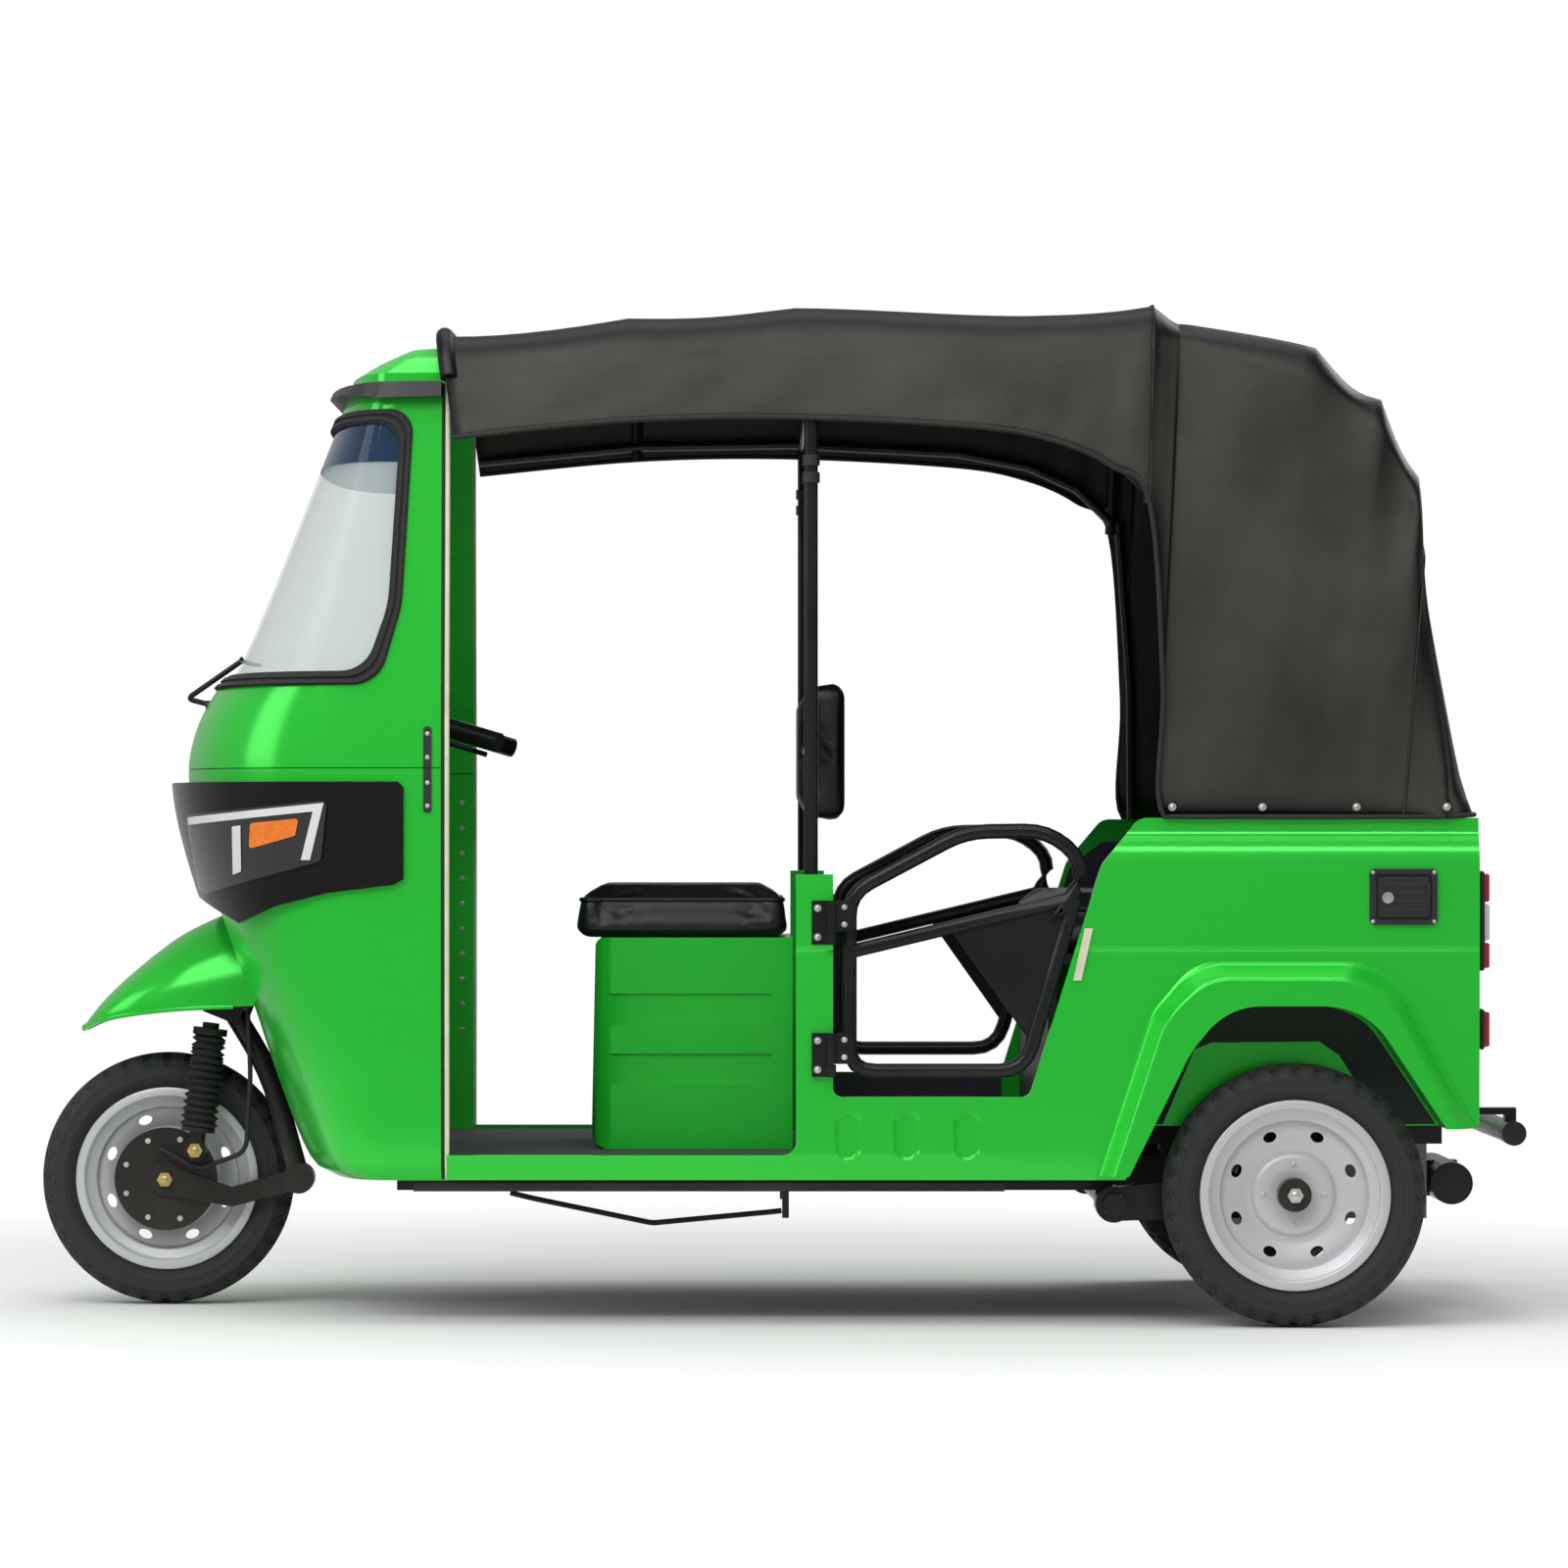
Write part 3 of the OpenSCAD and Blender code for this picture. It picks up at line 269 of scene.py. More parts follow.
def hood_cloth():
    """Coated cloth with painted shade: darker on top and over the bows than on its upright sides."""
    mat = finish("hood_cloth", colours().hood, 0.38, mottle=0.30, mottle_scale=4,
                 grain=[("cells", 520, 0.30, 0.0006), ("noise", 7, 0.35, 0.010)],
                 Specular_IOR_Level=0.18)
    nodes, links = mat.node_tree.nodes, mat.node_tree.links
    if "painted_top_shade" in nodes:
        return mat
    base = nodes["Principled BSDF"].inputs["Base Color"]
    unshaded_colour = base.links[0].from_socket
    # Painted shade: faces that don't face sideways are mixed towards a dark colour
    split = nodes.new("ShaderNodeSeparateXYZ")
    links.new(nodes.new("ShaderNodeNewGeometry").outputs["Normal"], split.inputs["Vector"])
    upright = nodes.new("ShaderNodeMath")
    upright.operation = "ABSOLUTE"
    links.new(split.outputs["Y"], upright.inputs[0])
    level = nodes.new("ShaderNodeMapRange")
    level.inputs["From Min"].default_value = 0.80
    level.inputs["From Max"].default_value = 0.992
    links.new(upright.outputs["Value"], level.inputs["Value"])
    mix = nodes.new("ShaderNodeMix")
    mix.name = "painted_top_shade"
    mix.data_type = "RGBA"
    # Colour of the painted shade on top and over the bows
    mix.inputs["A"].default_value = (0.004, 0.0045, 0.007, 1)
    links.new(level.outputs["Result"], mix.inputs["Factor"])
    links.new(unshaded_colour, mix.inputs["B"])
    links.new(mix.outputs["Result"], base)
    return mat


def tyre_rubber():
    return finish("tyre_rubber", (0.010, 0.010, 0.011), 0.48, mottle=0.35, mottle_scale=18,
                  grain=[("noise", 500, 0.3, 0.0006)], Specular_IOR_Level=0.16)


def seal_rubber():
    return finish("seal_rubber", (0.005, 0.005, 0.006), 0.28, grain=[("noise", 600, 0.2, 0.0004)],
                  Specular_IOR_Level=0.15)


def wheel_silver():
    return finish("wheel_silver", colours().wheel, 0.28, mottle=0.12, mottle_scale=20, Metallic=0.72,
                  grain=[("noise", 400, 0.08, 0.0004)])


def zinc():
    return finish("zinc", (0.62, 0.60, 0.55), 0.34, mottle=0.2, mottle_scale=60, Metallic=0.9)


def brass_zinc():
    return finish("yellow_zinc", (0.55, 0.40, 0.16), 0.36, mottle=0.25, mottle_scale=60, Metallic=0.85)


def mat_grey():
    return finish("floor_mat", (0.045, 0.045, 0.048), 0.75, mottle=0.25, mottle_scale=14,
                  grain=[("cells", 160, 0.5, 0.0015)])


def navy_trim():
    return finish("navy_trim", (0.012, 0.015, 0.032), 0.45, mottle=0.2,
                  grain=[("cells", 420, 0.3, 0.0007)])


def screen_glass():
    return finish("screen_glass", (0.56, 0.68, 0.78), 0.02, mottle=0.02, rough_var=0.01,
                  Transmission_Weight=1.0, IOR=1.45)


def lamp_clear():
    return finish("lamp_clear", (0.020, 0.020, 0.023), 0.08, rough_var=0.03, Coat_Weight=0.8,
                  grain=[("noise", 60, 0.03, 0.001)])


def lamp_white():
    return finish("lamp_white", (0.72, 0.74, 0.74), 0.18, mottle=0.05, rough_var=0.05, Coat_Weight=0.5)


def lamp_orange():
    return finish("lamp_orange", (0.85, 0.20, 0.015), 0.16, mottle=0.12, mottle_scale=80, rough_var=0.05,
                  Coat_Weight=0.6, grain=[("cells", 180, 0.4, 0.002)])


def lamp_red():
    return finish("lamp_red", (0.50, 0.010, 0.012), 0.14, mottle=0.15, mottle_scale=80, rough_var=0.05,
                  Coat_Weight=0.6, grain=[("cells", 140, 0.5, 0.002)])


def cream_bead():
    return finish("cream_bead", (0.74, 0.68, 0.52), 0.4, mottle=0.08, mottle_scale=30)


def engine_alloy():
    return finish("engine_alloy", (0.22, 0.22, 0.23), 0.5, mottle=0.3, mottle_scale=16, Metallic=0.7,
                  dust=0.5, grain=[("noise", 220, 0.3, 0.001)])


# Mesh helpers


def linked(name, data):
    """Object for some data, in the scene."""
    obj = bpy.data.objects.new(name, data)
    bpy.context.scene.collection.objects.link(obj)
    return obj


def mesh_of(name, verts, faces=()):
    """Mesh from points in millimetres."""
    mesh = bpy.data.meshes.new(name)
    mesh.from_pydata([Vector(v) * MM for v in verts], [], list(faces))
    return mesh


def piece(name, verts, faces, material, body=ROOT, slot=None, sharp=35):
    """Mesh piece from points in millimetres that rides on a body."""
    return dress(name, mesh_of(name, verts, faces), material, body, sharp)


def keep_largest(bm):
    """Delete every shell but the one with the most points."""
    shells, seen = [], set()
    for first in bm.verts:
        if first in seen:
            continue
        shell, open_ends = {first}, [first]
        while open_ends:
            for edge in open_ends.pop().link_edges:
                for v in edge.verts:
                    if v not in shell:
                        shell.add(v)
                        open_ends.append(v)
        seen |= shell
        shells.append(shell)
    shells.sort(key=len)
    bmesh.ops.delete(bm, geom=[v for shell in shells[:-1] for v in shell], context="VERTS")


def dress(name, mesh, material, body=ROOT, sharp=35, largest=False):
    """Orient and shade a finished mesh and put it on its body."""
    bm = bmesh.new()
    bm.from_mesh(mesh)
    if largest:
        keep_largest(bm)
    bmesh.ops.recalc_face_normals(bm, faces=bm.faces)
    bm.to_mesh(mesh)
    bm.free()
    mesh.shade_smooth()
    mesh.set_sharp_from_angle(angle=math.radians(sharp))
    mesh.materials.clear()
    mesh.materials.append(material)
    obj = linked(name, mesh)
    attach(obj, body)
    return obj


def flat(rows):
    """Rows of points as one list."""
    return [p for row in rows for p in row]


def loop_faces(m, n, ends="capped"):
    """Faces over m rings of n points, whose ends are capped, open or joined to each other."""
    spans = m if ends == "joined" else m - 1
    faces = [(i * n + j, i * n + (j + 1) % n, (i + 1) % m * n + (j + 1) % n, (i + 1) % m * n + j)
             for i in range(spans) for j in range(n)]
    if ends == "capped":
        faces += [tuple(range(n - 1, -1, -1)), tuple((m - 1) * n + j for j in range(n))]
    return faces


def grid_sheet(outer, inner):
    """Closed wall between two equal grids of points."""
    m, n = len(outer), len(outer[0])
    verts = [p for a, b in zip(outer, inner) for p in list(a) + list(reversed(b))]
    faces = loop_faces(m, 2 * n, "open")
    last = (m - 1) * 2 * n
    for j in range(n - 1):
        a, b, c, d = j, j + 1, 2 * n - 2 - j, 2 * n - 1 - j
        faces += [(d, c, b, a), (last + a, last + b, last + c, last + d)]
    return verts, faces


def tube_mesh(path, radius, sides=12, closed=False):
    """Round tube along points in millimetres; radius is one value or one for each point."""
    pts = [Vector(p) for p in path]
    count = len(pts)
    radii = radius if isinstance(radius, list) else [radius] * count
    verts, side = [], None
    for i, p in enumerate(pts):
        back = pts[i - 1] if i or closed else p
        ahead = pts[(i + 1) % count] if i < count - 1 or closed else p
        t = (ahead - back).normalized()
        if side is None:
            side = t.orthogonal().normalized()
        side = (side - t * side.dot(t)).normalized()
        other = t.cross(side)
        verts += [p + radii[i] * (math.cos(a) * side + math.sin(a) * other)
                  for a in (2 * math.pi * k / sides for k in range(sides))]
    return verts, loop_faces(count, sides, "joined" if closed else "capped")


def joined(parts):
    """One vertex and face list from several."""
    verts, faces = [], []
    for v, f in parts:
        base = len(verts)
        verts += list(v)
        faces += [tuple(i + base for i in face) for face in f]
    return verts, faces


def plain_mesh(obj):
    """Evaluated copy of an object's mesh; the object is removed."""
    graph = bpy.context.evaluated_depsgraph_get()
    graph.update()
    mesh = bpy.data.meshes.new_from_object(obj.evaluated_get(graph))
    bpy.data.objects.remove(obj)
    return mesh


def loose(name, verts, faces):
    """Helper object that isn't part of the model."""
    mesh = mesh_of(name, verts, faces)
    bm = bmesh.new()
    bm.from_mesh(mesh)
    bmesh.ops.recalc_face_normals(bm, faces=bm.faces)
    bm.to_mesh(mesh)
    bm.free()
    return linked(name, mesh)


def rounded_block(low, high, radius, segments, unit=1.0):
    """Block between two corners with every edge rounded, as a bmesh."""
    bm = bmesh.new()
    bmesh.ops.create_cube(bm, size=1)
    for v in bm.verts:
        v.co = Vector([(a + b) / 2 + c * (b - a) for a, b, c in zip(low, high, v.co)]) * unit
    bmesh.ops.bevel(bm, geom=bm.edges[:], offset=radius * unit, segments=segments, profile=0.5,
                    affect="EDGES")
    return bm


def prism(outline, low, high, along="y"):
    """Closed prism over an outline: (x, z) along y, or (y, z) along x."""
    if along == "y":
        verts = [(a, w, b) for w in (low, high) for a, b in outline]
    else:
        verts = [(w, a, b) for w in (low, high) for a, b in outline]
    return verts, loop_faces(2, len(outline))


def across(outline, spare=0.0):
    """Prism right across the body; spare keeps the ends of two cutters apart."""
    return prism(outline, -ACROSS - spare, ACROSS + spare)


def carved(body, steps):
    """Mesh left after boolean steps on a closed mesh; each step is (operation, closed mesh)."""
    obj = loose("carve", *body)
    tools = []
    for operation, shape in steps:
        tool = loose("carve_tool", *shape)
        tools.append(tool)
        mod = obj.modifiers.new("cut", "BOOLEAN")
        mod.operation = operation
        mod.solver = "EXACT"
        mod.object = tool
    mesh = plain_mesh(obj)
    for tool in tools:
        bpy.data.objects.remove(tool)
    return mesh


def round_corners(points, steps=8):
    """Outline with arcs; each point is (x, y, radius)."""
    out = []
    n = len(points)
    for i, (x, y, r) in enumerate(points):
        a = Vector((x, y))
        if not r:
            out.append((x, y))
            continue
        u = (Vector(points[i - 1][:2]) - a).normalized()
        v = (Vector(points[(i + 1) % n][:2]) - a).normalized()
        half = u.angle(v) / 2
        c = a + (u + v).normalized() * r / math.sin(half)
        s = a + u * r / math.tan(half) - c
        e = a + v * r / math.tan(half) - c
        total = s.angle(e)
        for k in range(steps + 1):
            t = k / steps
            w = (s * math.sin((1 - t) * total) + e * math.sin(t * total)) / math.sin(total)
            out.append(tuple(c + w))
    return out


def read(table, z, col):
    """Smooth value from a table whose first column rises."""
    i = 0
    while i < len(table) - 2 and z >= table[i + 1][0]:
        i += 1

    def slope(k):
        a, b = max(0, k - 1), min(len(table) - 1, k + 1)
        return (table[b][col] - table[a][col]) / (table[b][0] - table[a][0])

    h = table[i + 1][0] - table[i][0]
    u = (z - table[i][0]) / h
    return (table[i][col] * (2 * u**3 - 3 * u**2 + 1) + slope(i) * h * (u**3 - 2 * u**2 + u)
            + table[i + 1][col] * (3 * u**2 - 2 * u**3) + slope(i + 1) * h * (u**3 - u**2))


def eased_row(rows, t):
    """Row at a place along a table, eased between its rows."""
    i = min(int(t), len(rows) - 2)
    u = t - i
    p0, p1, p2, p3 = (rows[max(0, min(len(rows) - 1, i + k))] for k in (-1, 0, 1, 2))
    return [0.5 * (2 * b + (c - a) * u + (2 * a - 5 * b + 4 * c - d) * u * u
                   + (3 * b - a - 3 * c + d) * u**3) for a, b, c, d in zip(p0, p1, p2, p3)]


def nose_plan(z, grow=0.0, ahead=0.0, n=44):
    """Plan of the nose at a height, from the right seam round to the left."""
    nose = SEAM + read(COWL, z, AHEAD) + grow + ahead
    start = SEAM + read(COWL, z, FLAT_FROM)
    w = read(COWL, z, HALF_WIDTH) + grow
    lap = 2  # The wall flares out by this at the seam
    power = 2 / 2.5  # The plan is a superellipse of exponent 2.5
    row = [(SEAM, -w - lap, z)]
    for k in range(-n, n + 1):
        a = math.pi / 2 * k / n
        s = math.sin(a)
        row.append((start + (nose - start) * max(0.0, math.cos(a)) ** power,
                    w * math.copysign(abs(s) ** power, s), z))
    return row + [(SEAM, w + lap, z)]


def nose_wall(z0, z1, out, inn, ahead=0.0, ahead_in=None, step=14.0):
    """Closed wall that follows the nose between two offsets."""
    count = max(2, round((z1 - z0) / step))
    zs = [z0 + (z1 - z0) * i / count for i in range(count + 1)]
    back = ahead if ahead_in is None else ahead_in
    return grid_sheet([nose_plan(z, out, ahead) for z in zs], [nose_plan(z, inn, back) for z in zs])


def fasteners(name, spots, radius, height, material, body=ROOT, sides=6, dome=True):
    """Like heads set on points: each spot is (point, outward direction), made by one node tree."""
    mesh = mesh_of(name + "_spots", [p for p, _ in spots])
    attr = mesh.attributes.new("outward", "FLOAT_VECTOR", "POINT")
    for i, (_, d) in enumerate(spots):
        attr.data[i].vector = Vector(d).normalized()
    obj = linked(name + "_spots", mesh)
    tree = bpy.data.node_groups.new(name + "_tree", "GeometryNodeTree")
    face = tree.interface
    face.new_socket("Geometry", in_out="INPUT", socket_type="NodeSocketGeometry")
    r_in = face.new_socket("Head radius", in_out="INPUT", socket_type="NodeSocketFloat")
    h_in = face.new_socket("Head height", in_out="INPUT", socket_type="NodeSocketFloat")
    face.new_socket("Geometry", in_out="OUTPUT", socket_type="NodeSocketGeometry")
    nodes, links = tree.nodes, tree.links
    start, end = nodes.new("NodeGroupInput"), nodes.new("NodeGroupOutput")
    head = nodes.new("GeometryNodeMeshCylinder")
    head.inputs["Vertices"].default_value = sides
    links.new(start.outputs["Head radius"], head.inputs["Radius"])
    links.new(start.outputs["Head height"], head.inputs["Depth"])
    heads = nodes.new("GeometryNodeJoinGeometry")
    links.new(head.outputs["Mesh"], heads.inputs["Geometry"])
    if dome:
        cap = nodes.new("GeometryNodeMeshUVSphere")
        cap.inputs["Segments"].default_value = 10
        cap.inputs["Rings"].default_value = 6
        links.new(start.outputs["Head radius"], cap.inputs["Radius"])
        flat = nodes.new("GeometryNodeTransform")
        flat.inputs["Scale"].default_value = (0.82, 0.82, 0.62)
        links.new(cap.outputs["Mesh"], flat.inputs["Geometry"])
        links.new(flat.outputs["Geometry"], heads.inputs["Geometry"])
    aim = nodes.new("GeometryNodeInputNamedAttribute")
    aim.data_type = "FLOAT_VECTOR"
    aim.inputs["Name"].default_value = "outward"
    turn = nodes.new("FunctionNodeAlignRotationToVector")
    turn.axis = "Z"
    links.new(aim.outputs["Attribute"], turn.inputs["Vector"])
    place = nodes.new("GeometryNodeInstanceOnPoints")
    links.new(start.outputs["Geometry"], place.inputs["Points"])
    links.new(heads.outputs["Geometry"], place.inputs["Instance"])
    links.new(turn.outputs["Rotation"], place.inputs["Rotation"])
    solid = nodes.new("GeometryNodeRealizeInstances")
    links.new(place.outputs["Instances"], solid.inputs["Geometry"])
    paint = nodes.new("GeometryNodeSetMaterial")
    paint.inputs["Material"].default_value = material
    links.new(solid.outputs["Geometry"], paint.inputs["Geometry"])
    links.new(paint.outputs["Geometry"], end.inputs["Geometry"])
    mod = obj.modifiers.new("heads", "NODES")
    mod.node_group = tree
    mod[r_in.identifier] = radius
    mod[h_in.identifier] = height
    return dress(name, plain_mesh(obj), material, body, sharp=40)


def smooth_tree():
    """Node tree that shades a CAD node smooth up to an edge angle."""
    tree = bpy.data.node_groups.new("shade_by_angle", "GeometryNodeTree")
    tree.interface.new_socket("Geometry", in_out="INPUT", socket_type="NodeSocketGeometry")
    tree.interface.new_socket("Geometry", in_out="OUTPUT", socket_type="NodeSocketGeometry")
    nodes, links = tree.nodes, tree.links
    start, end = nodes.new("NodeGroupInput"), nodes.new("NodeGroupOutput")
    weld = nodes.new("GeometryNodeMergeByDistance")
    weld.inputs["Distance"].default_value = 0.00002
    soft = nodes.new("GeometryNodeSetShadeSmooth")
    angle = nodes.new("GeometryNodeInputMeshEdgeAngle")
    steep = nodes.new("FunctionNodeCompare")
    steep.data_type = "FLOAT"
    steep.operation = "GREATER_THAN"
    steep.inputs["B"].default_value = math.radians(38)
    crisp = nodes.new("GeometryNodeSetShadeSmooth")
    crisp.domain = "EDGE"
    crisp.inputs["Shade Smooth"].default_value = False
    links.new(start.outputs["Geometry"], weld.inputs["Geometry"])
    links.new(weld.outputs["Geometry"], soft.inputs["Geometry"])
    links.new(angle.outputs["Unsigned Angle"], steep.inputs["A"])
    links.new(soft.outputs["Geometry"], crisp.inputs["Geometry"])
    links.new(steep.outputs["Result"], crisp.inputs["Selection"])
    links.new(crisp.outputs["Geometry"], end.inputs["Geometry"])
    return tree


# Operators


class TAXI_OT_stage(bpy.types.Operator):
    """Camera at the photograph's angle, pale floor and soft studio light"""

    bl_idname = "taxi.stage"
    bl_label = "Stage"

    # Area lights: name, place, width and height, power in watts
    LIGHTS = [
        ("key_light", (2.5, 4.0, 4.2), (3.0, 3.0), 95),
        ("top_light", (0, 0.5, 4.6), (4.0, 4.0), 95),
        ("back_light", (-3.2, -3.0, 3.5), (3.0, 3.0), 60),
        ("front_light", (4.5, 1.0, 2.2), (2.0, 2.0), 28),
        ("strip_light", (0, 5.0, 4.4), (4.5, 0.5), 70),
    ]
    LIT_POINT = (0, 0, 0.8)
    FLOOR_HALF = 30
    FLOOR_Z = -0.001

    def execute(self, context):
        scene = context.scene
        scene.view_settings.view_transform = "Standard"
        lens = bpy.data.cameras.new("studio_camera")
        lens.lens = 151.2
        lens.sensor_width = 36
        lens.shift_x = 0.031
        lens.shift_y = 0.031
        lens.clip_end = 60
        camera = linked("studio_camera", lens)
        camera.location = (0.062, 12.0, 0.8555)
        camera.rotation_euler = (math.pi / 2, 0, math.pi)
        scene.camera = camera
        mesh = bpy.data.meshes.new("studio_floor")
        h = self.FLOOR_HALF
        corners = [(x, y, self.FLOOR_Z) for x, y in ((-h, -h), (h, -h), (h, h), (-h, h))]
        mesh.from_pydata(corners, [], [(0, 1, 2, 3)])
        mesh.materials.append(self.floor_finish())
        floor = linked("studio_floor", mesh)
        self.world(scene)
        for name, place, size, power in self.LIGHTS:
            lamp = bpy.data.lights.new(name, "AREA")
            lamp.shape = "RECTANGLE"
            lamp.size, lamp.size_y = size
            lamp.energy = power
            obj = linked(name, lamp)
            obj.location = place
            aim = Vector(self.LIT_POINT) - Vector(place)
            obj.rotation_euler = aim.to_track_quat("-Z", "Y").to_euler()
        return {"FINISHED"}

    @staticmethod
    def seen(nodes, links):
        """One where a camera or glass ray looks, else nought."""
        path = nodes.new("ShaderNodeLightPath")
        both = nodes.new("ShaderNodeMath")
        both.operation = "MAXIMUM"
        links.new(path.outputs["Is Camera Ray"], both.inputs[0])
        links.new(path.outputs["Is Transmission Ray"], both.inputs[1])
        return both.outputs["Value"]

    def floor_finish(self):
        """Pale floor that fades into the white backdrop away from the object."""
        mat = bpy.data.materials.new("pale_floor")
        mat.use_nodes = True
        nodes, links = mat.node_tree.nodes, mat.node_tree.links
        shader = nodes["Principled BSDF"]
        shader.inputs["Base Color"].default_value = (0.92, 0.92, 0.92, 1)
        shader.inputs["Roughness"].default_value = 0.9
        place = nodes.new("ShaderNodeTexCoord")
        reach = nodes.new("ShaderNodeVectorMath")
        reach.operation = "LENGTH"
        links.new(place.outputs["Object"], reach.inputs[0])
        fade = nodes.new("ShaderNodeMapRange")
        fade.interpolation_type = "SMOOTHSTEP"
        fade.inputs["From Min"].default_value = 1.5
        fade.inputs["From Max"].default_value = 3.4
        links.new(reach.outputs["Value"], fade.inputs["Value"])
        clear = nodes.new("ShaderNodeBsdfTransparent")
        mix = nodes.new("ShaderNodeMixShader")
        links.new(fade.outputs["Result"], mix.inputs["Fac"])
        links.new(shader.outputs["BSDF"], mix.inputs[1])
        links.new(clear.outputs["BSDF"], mix.inputs[2])
        links.new(mix.outputs["Shader"], nodes["Material Output"].inputs["Surface"])
        return mat

    def world(self, scene):
        """White backdrop that lights the object less than it shows."""
        world = bpy.data.worlds.new("studio_world")
        world.use_nodes = True
        nodes, links = world.node_tree.nodes, world.node_tree.links
        back = nodes["Background"]
        back.inputs["Color"].default_value = (1, 1, 1, 1)
        level = nodes.new("ShaderNodeMapRange")
        level.inputs["To Min"].default_value = 0.40
        level.inputs["To Max"].default_value = 1.0
        links.new(self.seen(nodes, links), level.inputs["Value"])
        links.new(level.outputs["Result"], back.inputs["Strength"])
        scene.world = world


class TAXI_OT_finishes(bpy.types.Operator):
    """Give every carried-over CAD node its finish and smooth shading"""

    bl_idname = "taxi.finishes"
    bl_label = "CAD finishes"

    def execute(self, context):
        looks = {
            green_paint: "front_cowl_lower front_cowl_upper roof_header body_side_left body_side_right "
                         "tail_panel wheelhouses engine_hatch driver_seat_box front_mudguard",
            tube_paint: "underframe steering_tunnel roof_frame hinge_leaves rear_bumper trailing_arms "
                        "rear_shocks steering_stem handlebar front_link front_shock rear_hub_left "
                        "rear_hub_right door_left door_right wiper exhaust_silencer",
            black_plastic: "instrument_panel sun_visor headlamp_mask filler_bezel filler_lid seat_bulkhead",
            navy_trim: "quarter_trim",
            mat_grey: "floor_pan",
            seat_cover: "driver_cushion driver_backrest bench_cushion bench_backrest",
            hood_cloth: "canopy",
            seal_rubber: "windscreen_seal control_cable brake_hose",
            tyre_rubber: "front_tyre rear_tyre_left rear_tyre_right",
            wheel_silver: "front_rim rear_rim_left rear_rim_right",
            screen_glass: "windscreen_glass",
            lamp_clear: "headlamps",
            lamp_red: "tail_lamps",
            engine_alloy: "engine_block",
        }
        tree = smooth_tree()
        for look, names in looks.items():
            for name in names.split():
                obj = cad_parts[name]
                for slot in obj.material_slots:
                    slot.material = look()
                obj.modifiers.new("shade_by_angle", "NODES").node_group = tree
        return {"FINISHED"}


